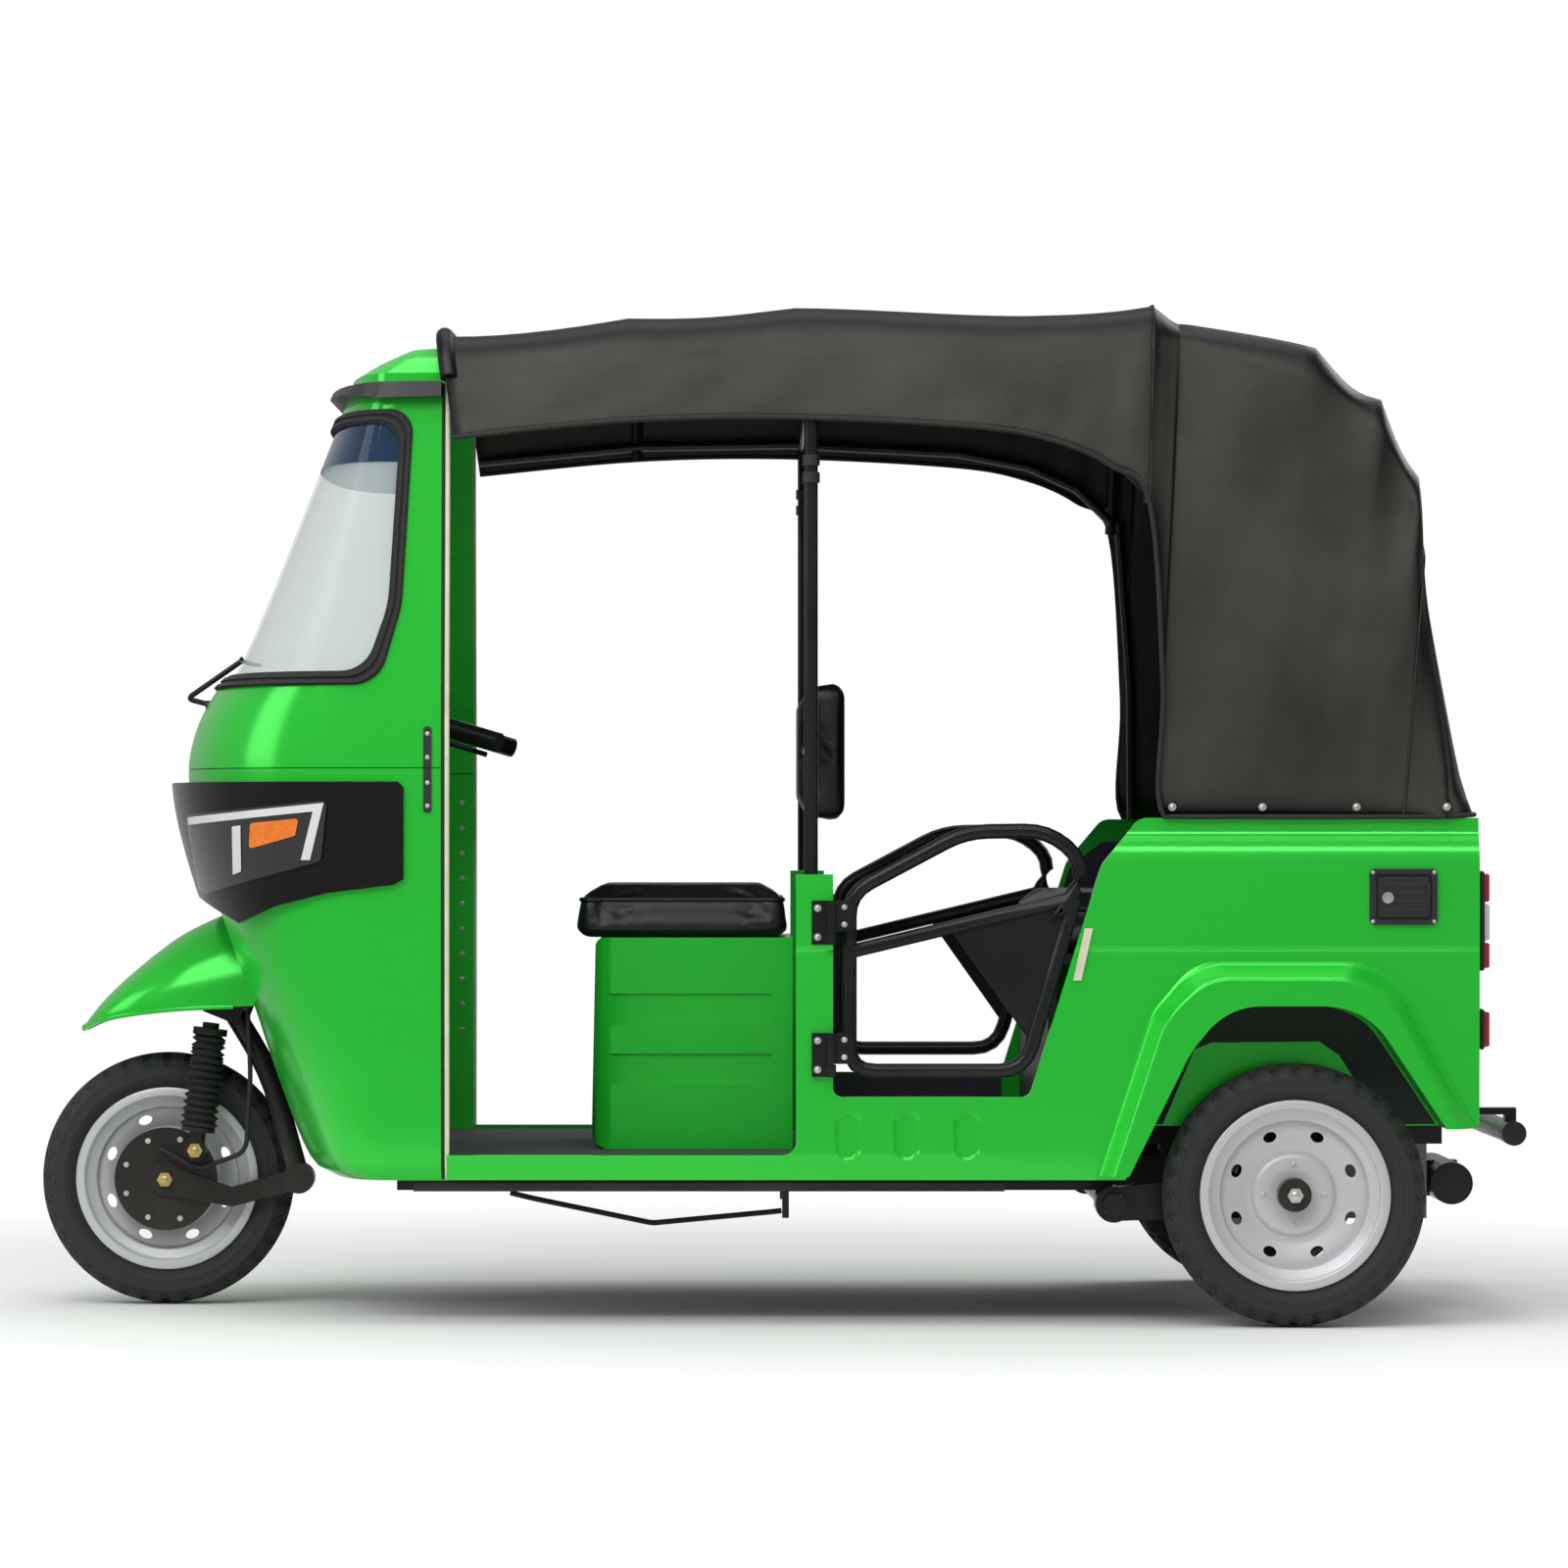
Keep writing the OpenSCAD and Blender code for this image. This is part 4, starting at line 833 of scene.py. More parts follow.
class TAXI_OT_nose(bpy.types.Operator):
    """Cowl panels, windscreen, seal, lamp mask and lamp lenses that follow one nose"""

    bl_idname = "taxi.nose"
    bl_label = "Nose"

    # Heights: foot, joint between the panels and top of the cowl, then the bands of screen and lamps
    FOOT, JOINT, TOP = 252, 967, 1640
    SCREEN_BAND = (1100, 1600)
    TINT_BAND = (1500, 1600)
    MASK_BAND = (690, 950)
    LAMP_BAND = (735, 925)
    JOINT_GAP = 1.6
    SCREEN_FIT = 0.3
    BROW = 22  # Mask and lamps stand this far ahead of the nose
    LAMP_INNER = 60  # From the middle to the inner end of a lamp

    # Outlines from the side: distance ahead of the seam, height, corner radius
    MASK = [(74, 775, 0), (91, 765, 0), (206, 751, 0), (298, 728, 0), (369, 697, 0), (451, 737, 0),
            (504, 757, 0), (620, 757, 0), (620, 944, 0), (84, 944, 0), (74, 934, 0)]
    LENS = [(470, 886, 8), (206, 912, 10), (217, 806, 14), (450, 744, 16)]
    STRIP = [(466, 882, 0), (212, 907, 0), (236, 808, 0), (252, 808, 0), (231, 892, 0), (466, 869, 0)]
    BAR = [(377, 866, 0), (361, 868, 0), (361, 788, 0), (377, 782, 0)]
    BLINKER = [(343, 872, 5), (256, 880, 5), (262, 850, 5), (346, 827, 5)]
    # What shines in a lamp: piece, outline, finish
    SHINES = [("light_strip", STRIP, lamp_white), ("light_bar", BAR, lamp_white),
              ("blinker", BLINKER, lamp_orange)]
    # Opening in the lower cowl for the steering tunnel: y, z, corner radius
    TUNNEL = [(-150, 100, 0), (150, 100, 0), (150, 690, 60), (-150, 690, 60)]

    @staticmethod
    def outline(points):
        return round_corners([(SEAM + x, z, r) for x, z, r in points])

    @classmethod
    def screen(cls, g):
        """Windscreen outline, smaller all round by g."""
        return cls.outline([(700, 1112 + g, 0), (700, 1592 - g, 0), (58 + g, 1592 - g, 40),
                            (78 + g, 1250, 200), (118 + g, 1112 + g, 60)])

    @classmethod
    def frame_cuts(cls, outer, inner):
        """Cuts that leave a band between two insets of the windscreen outline."""
        return [("INTERSECT", across(cls.screen(outer))), ("DIFFERENCE", across(cls.screen(inner), 1))]

    def cowl(self):
        tunnel = prism(round_corners(self.TUNNEL), SEAM + 60, SEAM + 700, "x")
        lower = carved(nose_wall(self.FOOT, self.JOINT, 0, -COWL_WALL), [("DIFFERENCE", tunnel)])
        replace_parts(dress("cowl_lower_panel", lower, green_paint()), "front_cowl_lower")
        upper = carved(nose_wall(self.JOINT + self.JOINT_GAP, self.TOP, 0, -COWL_WALL),
                       [("DIFFERENCE", across(self.screen(0)))])
        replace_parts(dress("cowl_upper_panel", upper, green_paint()), "front_cowl_upper")
        joint = carved(nose_wall(self.JOINT - 0.4, self.JOINT + 2, -4, -10), [])
        dress("cowl_joint", joint, seal_rubber())

    def windscreen(self):
        opening = [("INTERSECT", across(self.screen(SEAL_W + self.SCREEN_FIT)))]
        glass = carved(nose_wall(*self.SCREEN_BAND, -3, -8), opening)
        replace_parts(dress("windscreen_pane", glass, screen_glass()), "windscreen_glass")
        band = carved(nose_wall(*self.TINT_BAND, -2.2, -2.8), opening)
        dress("windscreen_tint", band, screen_tint())
        seal = carved(nose_wall(*self.SCREEN_BAND, 5, -COWL_WALL - 4),
                      self.frame_cuts(self.SCREEN_FIT, SEAL_W))
        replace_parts(dress("windscreen_rubber", seal, seal_rubber()), "windscreen_seal")
        for name, outer, inner in (("outer", 3, 9), ("inner", 14, 20)):
            bead = carved(nose_wall(*self.SCREEN_BAND, 9, 4), self.frame_cuts(outer, inner))
            dress("screen_bead_" + name, bead, seal_rubber())

    def lamps(self):
        mask = carved(nose_wall(*self.MASK_BAND, 9, 0.3, self.BROW, 0),
                      [("INTERSECT", across(self.outline(self.MASK)))])
        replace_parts(dress("lamp_mask", mask, mask_gloss(), sharp=30), "headlamp_mask")
        lenses = []
        for side, s in SIDES:
            reach = sorted((s * self.LAMP_INNER, s * ACROSS))
            lens = carved(nose_wall(*self.LAMP_BAND, 16, 9.3, self.BROW),
                          [("INTERSECT", prism(self.outline(self.LENS), *reach))])
            lenses.append(dress("lamp_lens_" + side, lens, lamp_clear(), sharp=30))
            for name, shape, look in self.SHINES:
                mesh = carved(nose_wall(*self.LAMP_BAND, 18, 14, self.BROW),
                              [("INTERSECT", prism(self.outline(shape), *reach))])
                dress(name + "_" + side, mesh, look(), sharp=30)
        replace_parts(lenses[0], "headlamps")

    def execute(self, context):
        self.cowl()
        self.windscreen()
        self.lamps()
        return {"FINISHED"}


class TAXI_OT_sides(bpy.types.Operator):
    """Body sides with a rounded waist, a soft wheel arch lip, pressed ovals and a painted shadow in the
    wheelhouses
    """

    bl_idname = "taxi.sides"
    bl_label = "Body sides"

    # Section: distance from the widest plane, height
    SECTION = [
        (-14, 250), (-9, 300), (-2, 600), (-2, 642), (-3.5, 649), (-4.5, 652), (-3, 656), (0, 662),
        (0, 790), (-0.8, 806), (-3, 819), (-7, 831), (-12, 841), (-17.5, 849), (-21, 856), (-22, 863),
        (-22, 885),
    ]
    # Lip of the arch: inset, distance from the widest plane
    LIP = [(-5, -40), (-5, -1.6), (-1, 0.2), (3, 4), (10, 14), (21, 28.5), (24, 31.6), (27, 33.3), (31, 34)]
    # Pressed oval: radius, distance from the widest plane
    OVAL = [(15, -15), (18, -13.5), (23.5, -8.5), (25, -7.5), (25, 20)]
    OVAL_AHEAD = (773, 671, 567)  # From the rear axle
    OVAL_Z = 332
    OVAL_RISE = 22  # Half of its straight length
    OVAL_SIDES = 32
    TAIL_FOOT = 344  # Lower edge behind the arch
    SHADE = (507.4, 509.4)  # Dark sheet of painted shadow on the wheelhouse wall
    SHADE_FROM = 347
    # Green inner wall seen through the arch
    INNER = [(-664, 300), (-739, 477), (-768, 489), (-957, 491), (-992, 467), (-1014, 432), (-1070, 300)]

    @classmethod
    def outline(cls):
        return round_corners([
            (SEAM - 0.3, SILL, 0), (SEAM - 0.3, 297, 0), (POST[1], 297, 24), (POST[1], POST_TOP, 0),
            (POST[0], POST_TOP, 0), (POST[0], DOOR_SILL, 16), (QUARTER, DOOR_SILL, 18),
            (REAR_AXLE + 335, 800, 60),
            (REAR_AXLE + 268, WAIST, 30), (TAIL, WAIST, 0), (TAIL, cls.TAIL_FOOT, 14),
            (REAR_AXLE - 240, cls.TAIL_FOOT, 0), (REAR_AXLE + 200, SILL, 0)])

    @staticmethod
    def arch(g=0.0):
        """Wheel opening, larger all round by g."""
        return round_corners([
            (REAR_AXLE + 320 + g, 200, 0), (REAR_AXLE + 182 + g, 478 + 0.4 * g, 200),
            (REAR_AXLE + 118 + 0.6 * g, 556 + g, 120), (REAR_AXLE - 118 - 0.6 * g, 556 + g, 130),
            (REAR_AXLE - 259 - g, 344, 0), (REAR_AXLE - 350 - g, 200, 0)])

    @staticmethod
    def lip(g):
        """Outer edge of the arch lip, inset by g."""
        return round_corners([
            (REAR_AXLE + 338 - g, 262, 0), (REAR_AXLE + 247 - g, 539, 150),
            (REAR_AXLE + 171 - 0.75 * g, 628 - g, 100), (REAR_AXLE - 160 + 0.75 * g, 628 - g, 130),
            (REAR_AXLE - 306 + g, 344, 0), (REAR_AXLE - 306 + g, 262, 0)])

    @classmethod
    def oval(cls, ahead):
        """Cutter of one pressed oval."""
        rows = []
        for r, y in cls.OVAL:
            ring = []
            for k in range(cls.OVAL_SIDES):
                a = 2 * math.pi * (k + 0.5) / cls.OVAL_SIDES
                z = cls.OVAL_Z + math.copysign(cls.OVAL_RISE, math.sin(a)) + r * math.sin(a)
                ring.append((REAR_AXLE + ahead + r * math.cos(a), SIDE_HALF + y, z))
            rows.append(ring)
        return flat(rows), loop_faces(len(rows), cls.OVAL_SIDES)

    @classmethod
    def panel(cls, filler):
        """Left body side as a mesh, with the filler opening or without."""
        section = [(SIDE_HALF + y, z) for y, z in cls.SECTION]
        section += [(SIDE_IN - 12, 885), (SIDE_IN, 840), (SIDE_IN, 250)]
        rows = [[(x, SIDE_HALF + y, z) for x, z in cls.lip(g)] for g, y in cls.LIP]
        lip = (flat(rows), loop_faces(len(rows), len(rows[0])))
        post = prism([(POST[0], 290.3), (POST[1], 290.3), (POST[1], POST_TOP), (POST[0], POST_TOP)],
                     SIDE_HALF - 56, SIDE_HALF - 10)
        below = [(REAR_AXLE - 400, 100), (REAR_AXLE - 200, 100), (REAR_AXLE - 200, cls.TAIL_FOOT),
                 (REAR_AXLE - 400, cls.TAIL_FOOT)]
        steps = [("INTERSECT", prism(cls.outline(), 0, 700)), ("UNION", post), ("UNION", lip),
                 ("DIFFERENCE", prism(cls.arch(), 0, 701)),
                 ("DIFFERENCE", prism(below, SIDE_IN - 90, 702))]
        steps += [("DIFFERENCE", cls.oval(ahead)) for ahead in cls.OVAL_AHEAD]
        if filler:
            steps.append(("DIFFERENCE", prism(FILLER_HOLE, SIDE_IN - 90, 703)))
        return carved(prism(section, TAIL - 1, SEAM + 1, "x"), steps)

    def execute(self, context):
        for side, s in SIDES:
            mesh = self.panel(s > 0)
            for v in mesh.vertices:
                v.co.y *= s
            skin = dress("side_panel_" + side, mesh, green_paint(), sharp=30)
            even = skin.modifiers.new("even_normals", "WEIGHTED_NORMAL")
            even.keep_sharp = True
            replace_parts(skin, "body_side_" + side)
            # Painted shadow: a dark sheet on the wheelhouse wall round the arch, with the green inner wall
            # left open
            low, high = sorted(s * y for y in self.SHADE)
            z = self.SHADE_FROM
            shade = carved(prism(self.arch(-3), low, high), [
                ("DIFFERENCE", prism(self.INNER, -700, 700)),
                ("DIFFERENCE", prism([(-1400, 0), (0, 0), (0, z), (-1400, z)], -701, 701))])
            dress("wheelhouse_shade_" + side, shade, seal_rubber(), sharp=30)
        return {"FINISHED"}


class TAXI_OT_hood(bpy.types.Operator):
    """Coated cloth hood over its bows, with hems, seams, piping and studs"""

    bl_idname = "taxi.hood"
    bl_label = "Hood"

    FAN = (-740, 1230)  # Point that the rear creases fan out from
    FAN_REACH = 380
    CREASE = 6.0
    CREASES = 10
    CORNER = 70  # Radius between side and roof
    LEAN = 36  # A side leans in by this at the roof
    CROWN = 12
    FLAT_SIZE = (2.60, 2.40)
    CLOTH_WALL = 0.003
    ROWS_PER_SPAN = 8
    SEAM_ROWS = (6.0, 11.6)
    SEAM_R = 2.4
    ROLL_R = 15
    ROLL_FROM = 1640
    STUD_X = (-694, -850, -1013, -1169)
    STUD_Y, STUD_Z = 602, 900
    # Rows where the cloth lies on a bow or an edge, and the first of the rear ones
    BOWS = [0, 1, 2, 6, 9, 10, 11, 13]
    REAR_FROM = 6

    @classmethod
    def fold(cls, at):
        """Shallow creases that fan out over the rear of a hood side."""
        back, up = cls.FAN[0] - at[0], at[1] - cls.FAN[1]
        if back <= 0:
            return 0.0
        reach = min(1.0, math.hypot(back, up) / cls.FAN_REACH) ** 2
        return cls.CREASE * reach * math.sin(cls.CREASES * math.atan2(up, back)) * min(1.0, back / 80)

    @classmethod
    def section(cls, t, grow=0.0, sag=0.0, pinch=0.0, n_side=14, n_arc=8, n_top=12):
        """Points of one hood section from the left hem over the roof to the right."""
        rx, rz, hx, hz, half_w = eased_row(HOOD, t)
        hz = max(hz, WAIST + 2)
        hem = Vector((hx, hz))
        d = Vector((rx, rz)) - hem
        e = d.normalized()
        length = d.length + grow
        rad = min(cls.CORNER, 0.7 * length)
        low = half_w + grow
        top = low - cls.LEAN * min(1, d.length / 400)
        half = []
        for k in range(n_side):
            u = k / n_side
            ripple = 1.6 * math.sin(0.09 * hx + 2.0 * u) * (1 - u) + 1.0 * math.sin(0.031 * hx + 5 * u)
            ripple += cls.fold(hem + e * (length - rad) * u)
            ripple -= pinch * max(0.0, 2 * u - 1) ** 2
            half.append((low + (top + 2 - low) * u + ripple * min(1, 4 * u + 0.2), (length - rad) * u))
        for k in range(n_arc + 1):
            a = math.pi / 2 * k / n_arc
            out, up = math.cos(a), math.sin(a)
            half.append((top - rad + rad * out - pinch * out,
                         length - rad + rad * up - sag * up**2 - 0.6 * pinch * math.sin(2 * a)))
        for k in range(1, n_top):
            y = (top - rad) * (1 - k / n_top)
            half.append((y, length - sag + cls.CROWN * (1 - (y / (top - rad)) ** 2)))
        ring = half + [(0, length + cls.CROWN - sag)] + [(-y, s) for y, s in reversed(half)]
        return [(hem[0] + e[0] * s, y, hem[1] + e[1] * s) for y, s in ring]

    @classmethod
    def draped(cls, t, dip, grow=0.0):
        """Section with the cloth pulled in between its bows, more at the rear."""
        lo = max(b for b in cls.BOWS if b <= t + 1e-9)
        hi = min([b for b in cls.BOWS if b > t + 1e-9] or [lo + 1])
        pull = math.sin(math.pi * (t - lo) / (hi - lo))
        if t < cls.REAR_FROM:
            return cls.section(t, grow, 0.6 * dip * pull, 4 * pull)
        return cls.section(t, grow, 1.8 * dip * pull, 15 * pull)

    def execute(self, context):
        dip = sizes().hood_sag / MM
        steps = self.ROWS_PER_SPAN
        count = (len(HOOD) - 1) * steps
        rows = [self.draped(k / steps, dip) for k in range(count + 1)]
        n = len(rows[0])
        faces = [(i * n + j, i * n + j + 1, (i + 1) * n + j + 1, (i + 1) * n + j)
                 for i in range(count) for j in range(n - 1)]
        cloth = piece("hood_cloth_cover", flat(rows), faces, hood_cloth(), slot="hood_vinyl", sharp=60)
        wall = cloth.modifiers.new("cloth_wall", "SOLIDIFY")
        wall.thickness = self.CLOTH_WALL
        wall.offset = -1
        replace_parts(cloth, "canopy")
        pipe = sizes().piping_radius / MM
        hem = [r[0] for r in rows]
        hems = [tube_mesh([(x, s * (y + 1), z) for x, y, z in hem], pipe, 8) for _, s in SIDES]
        hems.append(tube_mesh([(x - 2, y, z) for x, y, z in rows[-1]], pipe, 8))
        edge = piece("hood_piping", *joined(hems), seal_rubber(), slot="hood_vinyl", sharp=60)
        seams = [tube_mesh(self.draped(t, dip, 1.0), self.SEAM_R, 6) for t in self.SEAM_ROWS]
        stitched = piece("hood_seams", *joined(seams), hood_cloth(), slot="hood_vinyl", sharp=60)
        front = [(x - 6, y, z) for x, y, z in self.section(0, 0.0) if z > self.ROLL_FROM]
        roll = piece("hood_front_roll", *tube_mesh(front, self.ROLL_R, 16), hood_cloth(),
                     slot="hood_vinyl", sharp=60)
        spots = [((x, s * self.STUD_Y, self.STUD_Z), (0, s, 0)) for x in self.STUD_X for _, s in SIDES]
        fasteners("hood_studs", spots, 0.007, 0.004, zinc(), sides=14)
        return {"FINISHED"}


class TAXI_OT_seats(bpy.types.Operator):
    """Padded seats swelled as cloth over their filling, with piped edges"""

    bl_idname = "taxi.seats"
    bl_label = "Seats"

    # Piece, node, x range, half width, z range, lean, face that rests, voxel, swell cap
    PADS = [
        ("driver_seat_pad", "driver_cushion", (-40, 355), 250, (668.3, 759), 0.0, "down", 0.007, 0.014),
        ("driver_back_pad", "driver_backrest", (-134, -52), 230, (873, 1131), 0.0, "back", 0.006, 0.011),
        ("bench_seat_pad", "bench_cushion", (-896, -450), 540, (645.3, 745), 0.0, "down", 0.010, 0.016),
        ("bench_back_pad", "bench_backrest", (-992, -902), 540, (645.3, 1200), -0.16, "back", 0.011, 0.014),
    ]
    ROOM = 9  # The filling is smaller by this, and the cover swells into it
    ROOM_BELOW = 7
    CORNER = 24
    SWELL_STEPS = 16
    # Depth that rests on the seat box or on the frame and doesn't swell, in metres
    HELD_DOWN, HELD_BACK = 0.012, 0.010
    # Piping: distance below the pad's face, number of points, lift off the cover in metres
    PIPING_DOWN, PIPING_BACK = 24, 22
    PIPING_POINTS = 220
    PIPING_LIFT = 0.0012

    @classmethod
    def filling(cls, xs, half, zs, lean, rests, voxel):
        """Rounded block, smaller than the pad by what the cover swells."""
        low = [xs[0], cls.ROOM - half, zs[0]]
        high = [xs[1] - cls.ROOM, half - cls.ROOM, zs[1] - cls.ROOM]
        if rests == "down":
            low[0] += cls.ROOM
        else:
            low[2] += cls.ROOM_BELOW
        bm = rounded_block(low, high, cls.CORNER, 4, MM)
        for v in bm.verts:
            v.co.x += lean * (v.co.z - zs[0] * MM)
        mesh = bpy.data.meshes.new("filling")
        bm.to_mesh(mesh)
        bm.free()
        obj = linked("filling", mesh)
        mod = obj.modifiers.new("even_mesh", "REMESH")
        mod.mode = "VOXEL"
        mod.voxel_size = voxel
        return plain_mesh(obj)

    @classmethod
    def swell(cls, mesh, held, cap):
        """Mesh after a short cloth run under pressure, its moves capped."""
        scene = bpy.context.scene
        rest = [v.co.copy() for v in mesh.vertices]
        obj = linked("cover", mesh)
        group = obj.vertex_groups.new(name="held")
        group.add([i for i, v in enumerate(rest) if held(v)], 1.0, "REPLACE")
        mod = obj.modifiers.new("swell", "CLOTH")
        cloth = mod.settings
        cloth.quality = 4
        cloth.mass = 0.3
        cloth.use_pressure = True
        cloth.uniform_pressure_force = 4
        cloth.tension_stiffness = cloth.compression_stiffness = 15
        cloth.vertex_group_mass = "held"
        cloth.effector_weights.gravity = 0
        for step in range(1, cls.SWELL_STEPS + 1):
            scene.frame_set(step)
        done = plain_mesh(obj)
        scene.frame_set(1)
        for v, old in zip(done.vertices, rest):
            move = v.co - old
            if move.length > cap:
                v.co = old + move.normalized() * cap
        return done

    @classmethod
    def piping(cls, mesh, centre, axes, reach):
        """Closed path round the pad where rays from outside meet its cover."""
        tree = BVHTree.FromPolygons([v.co for v in mesh.vertices], [p.vertices for p in mesh.polygons])
        path = []
        for k in range(cls.PIPING_POINTS):
            a = 2 * math.pi * k / cls.PIPING_POINTS
            aim = axes[0] * math.cos(a) + axes[1] * math.sin(a)
            # Even steps along a long pad: stretch the ring to the pad's own shape
            aim = Vector([c * r for c, r in zip(aim, reach)])
            start = centre + aim * 1.5
            hit, normal, _, _ = tree.ray_cast(start, -aim.normalized())
            if hit:
                path.append((hit + normal * cls.PIPING_LIFT) / MM)
        return path

    def execute(self, context):
        for name, node, xs, half, zs, lean, rests, voxel, cap in self.PADS:
            foot_x, foot_z = xs[0] * MM, zs[0] * MM
            deep, tall = xs[1] - xs[0], zs[1] - zs[0]
            down = rests == "down"

            def held(v):
                if down:
                    return v.z < foot_z + self.HELD_DOWN
                return v.x - lean * (v.z - foot_z) < foot_x + self.HELD_BACK

            mesh = self.filling(xs, half, zs, lean, rests, voxel)
            mesh = self.swell(mesh, held, cap)
            pad = dress(name, mesh, seat_cover(), sharp=180)
            soft = pad.modifiers.new("soft", "SUBSURF")
            soft.levels = soft.render_levels = 1
            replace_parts(pad, node)
            centre = Vector(((xs[0] + xs[1]) / 2, 0, (zs[0] + zs[1]) / 2)) * MM
            if down:
                centre += Vector((0, 0, tall / 2 - self.PIPING_DOWN)) * MM
                axes = Vector((1, 0, 0)), Vector((0, 1, 0))
                reach = deep * MM, 2 * half * MM, 0
            else:
                centre += Vector((lean * tall / 2 + deep / 2 - self.PIPING_BACK, 0, 0)) * MM
                axes = Vector((0, 1, 0)), Vector((lean, 0, 1))
                reach = tall * MM, 2 * half * MM, tall * MM
            path = self.piping(mesh, centre, axes, reach)
            cord = tube_mesh(path, sizes().piping_radius / MM, 8, closed=True)
            piece(name + "_piping", *cord, seat_cover(), slot="seat_vinyl", sharp=180)
        return {"FINISHED"}


class TAXI_OT_wheels(bpy.types.Operator):
    """Tyres with a moulded tread, pressed wheels, hub and brake fittings and the front gaiter"""

    bl_idname = "taxi.wheels"
    bl_label = "Wheels"

    # Half outline of the tyre: radius, distance from the middle plane
    OUTLINE = [
        (151, 30), (151, 40), (168, 40), (172, 44), (177, 50), (181, 52.2), (184, 52.9), (185.2, 53.9),
        (187, 53.4), (194, 54), (201, 53.6), (203, 54.2), (205, 53), (211, 50), (216, 46.5),
    ]
    # Inside of the tyre, from its right wall to its left: radius, distance from the middle plane
    HOLLOW = [(175, -34), (206, -32), (208, -29), (208, 29), (206, 32), (175, 34)]
    # Crown of the tread: distance from the middle plane, radius
    CROWN = [(46.5, 216), (42, 220.2), (36, 223.6), (28, 226), (16, 227.6), (0, 228)]
    TREAD_HALF = 44
    TREAD_ROWS = 36
    TREAD_STEPS = 216
    LUG = 6  # Steps from one lug to the next
    SHOULDER_R = 203

    # Pressed wheel: rim flange, then the two discs from the rim to the hub; radius, distance outwards
    FLANGE = [(165, 40.3), (165, 43), (163, 44.2), (151, 44), (147.6, 41), (147, 31), (143, 28.5),
              (130, 23), (128, 20)]
    REAR_DISC = [
        (127.5, 8), (126, 5), (120, 5.5), (112, 3.5), (100, 0), (88, -4.5), (79, -7.5), (75, -7), (70, -1),
        (66, 1.5), (60, 2.2), (46, 2.2), (40, 0.8), (29.4, 0.4), (29.4, -5.6), (66, -5.6), (74, -13.6),
        (88, -10), (112, -3), (126, -1), (127.5, -8),
    ]
    FRONT_DISC = [
        (127.5, 8), (126, 4), (120, 4.5), (112, 2), (98, 0.5), (94, -2.5), (60, -2), (32, -1), (32, 8),
        (10.4, 8), (10.4, -30), (32, -30), (32, -9), (126, -4), (127.5, -8),
    ]
    WELL = [(150.7, -40.3), (150.7, -28), (131, -20), (131, 20), (150.7, 28), (150.7, 40.3)]
    DRUM = [(85, -2), (85, -50), (82, -52), (20, -52), (20, -46), (73, -46), (73, -2)]
    TURN_STEPS = 96

    # Oval holes of a disc: radius of their ring, half size outwards and along; then their number
    FRONT_HOLES = (112, 8, 13)
    REAR_HOLES = (107, 9, 12)
    HOLES = 8
    HOLE_SIDES = 18

    BOSS_RING = 53
    PLATE_RING = 76
    PLATE_Y = 67.5
    PLATE_ANGLES = (20, 65, 110, 250, 295, 340)
    GAITER_RIBS = 13

    @classmethod
    def crown(cls, y):
        """Radius of the plain tread at a distance from the middle plane."""
        y = abs(y)
        for (y1, r1), (y0, r0) in zip(cls.CROWN, cls.CROWN[1:]):
            if y >= y0:
                return r0 + (r1 - r0) * (y - y0) / (y1 - y0)
        return cls.CROWN[-1][1]

    @classmethod
    def groove(cls, k, y, depth):
        """Depth of the tread pattern at one step round the tyre."""
        side = abs(y)
        half_lug = cls.LUG // 2
        # Zigzag groove on each side of the middle
        wave = abs(k % cls.LUG - half_lug) - 1.5
        if abs(side - 13 - 1.6 * wave) < 2.4:
            return depth
        # Cross cuts that deepen towards the shoulder
        phase = (k + (half_lug if y < 0 else 0)) % cls.LUG
        if side > 20 and phase < 2:
            return depth * min(1, (side - 18) / 6)
        # Short cuts along the middle
        if side < 4 and phase == 4:
            return depth * 0.5
        return 0.0

    @classmethod
    def shoulder(cls, k, r, depth):
        """Depth of the side grooves that run down from the tread."""
        if r <= cls.SHOULDER_R or k % cls.LUG >= 2:
            return 0.0
        return depth * min(1.0, (r - cls.SHOULDER_R) / 8)

    @staticmethod
    def spoke(profile, a, cx, cy, s=1):
        """Profile of (radius, distance outwards) at one angle about a wheel axis."""
        return [(cx + r * math.cos(a), cy + s * y, WHEEL_R + r * math.sin(a)) for r, y in profile]

    @staticmethod
    def bolt_ring(cx, y, r, angles, s=1):
        """Spots round a wheel axis, for fasteners."""
        return [((cx + r * math.cos(a), y, WHEEL_R + r * math.sin(a)), (0, s, 0)) for a in angles]

    @classmethod
    def turned(cls, profile, cx, cy, s):
        """Profile turned about a wheel axis."""
        steps = cls.TURN_STEPS
        rows = [cls.spoke(profile, 2 * math.pi * k / steps, cx, cy, s) for k in range(steps)]
        return flat(rows), loop_faces(steps, len(profile), "joined")

    def disc(self, name, node, shape, cx, cy, s, body, holes):
        """Pressed wheel with a ring of oval holes."""
        rim = [(r, -y) for r, y in reversed(self.FLANGE)]
        profile = self.FLANGE + shape + rim + self.WELL
        ring_r, half_out, half_along = holes
        cuts = []
        for k in range(self.HOLES):
            a = 2 * math.pi * (k + 0.5) / self.HOLES
            out, along = Vector((math.cos(a), math.sin(a))), Vector((-math.sin(a), math.cos(a)))
            ring = []
            for j in range(self.HOLE_SIDES):
                b = 2 * math.pi * j / self.HOLE_SIDES
                at = out * (ring_r + half_out * math.cos(b)) + along * half_along * math.sin(b)
                ring.append((cx + at[0], WHEEL_R + at[1]))
            cuts.append(("DIFFERENCE", prism(ring, cy - 30, cy + 30)))
        mesh = carved(self.turned(profile, cx, cy, s), cuts)
        wheel = dress(name, mesh, wheel_silver(), body, sharp=32)
        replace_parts(wheel, node)

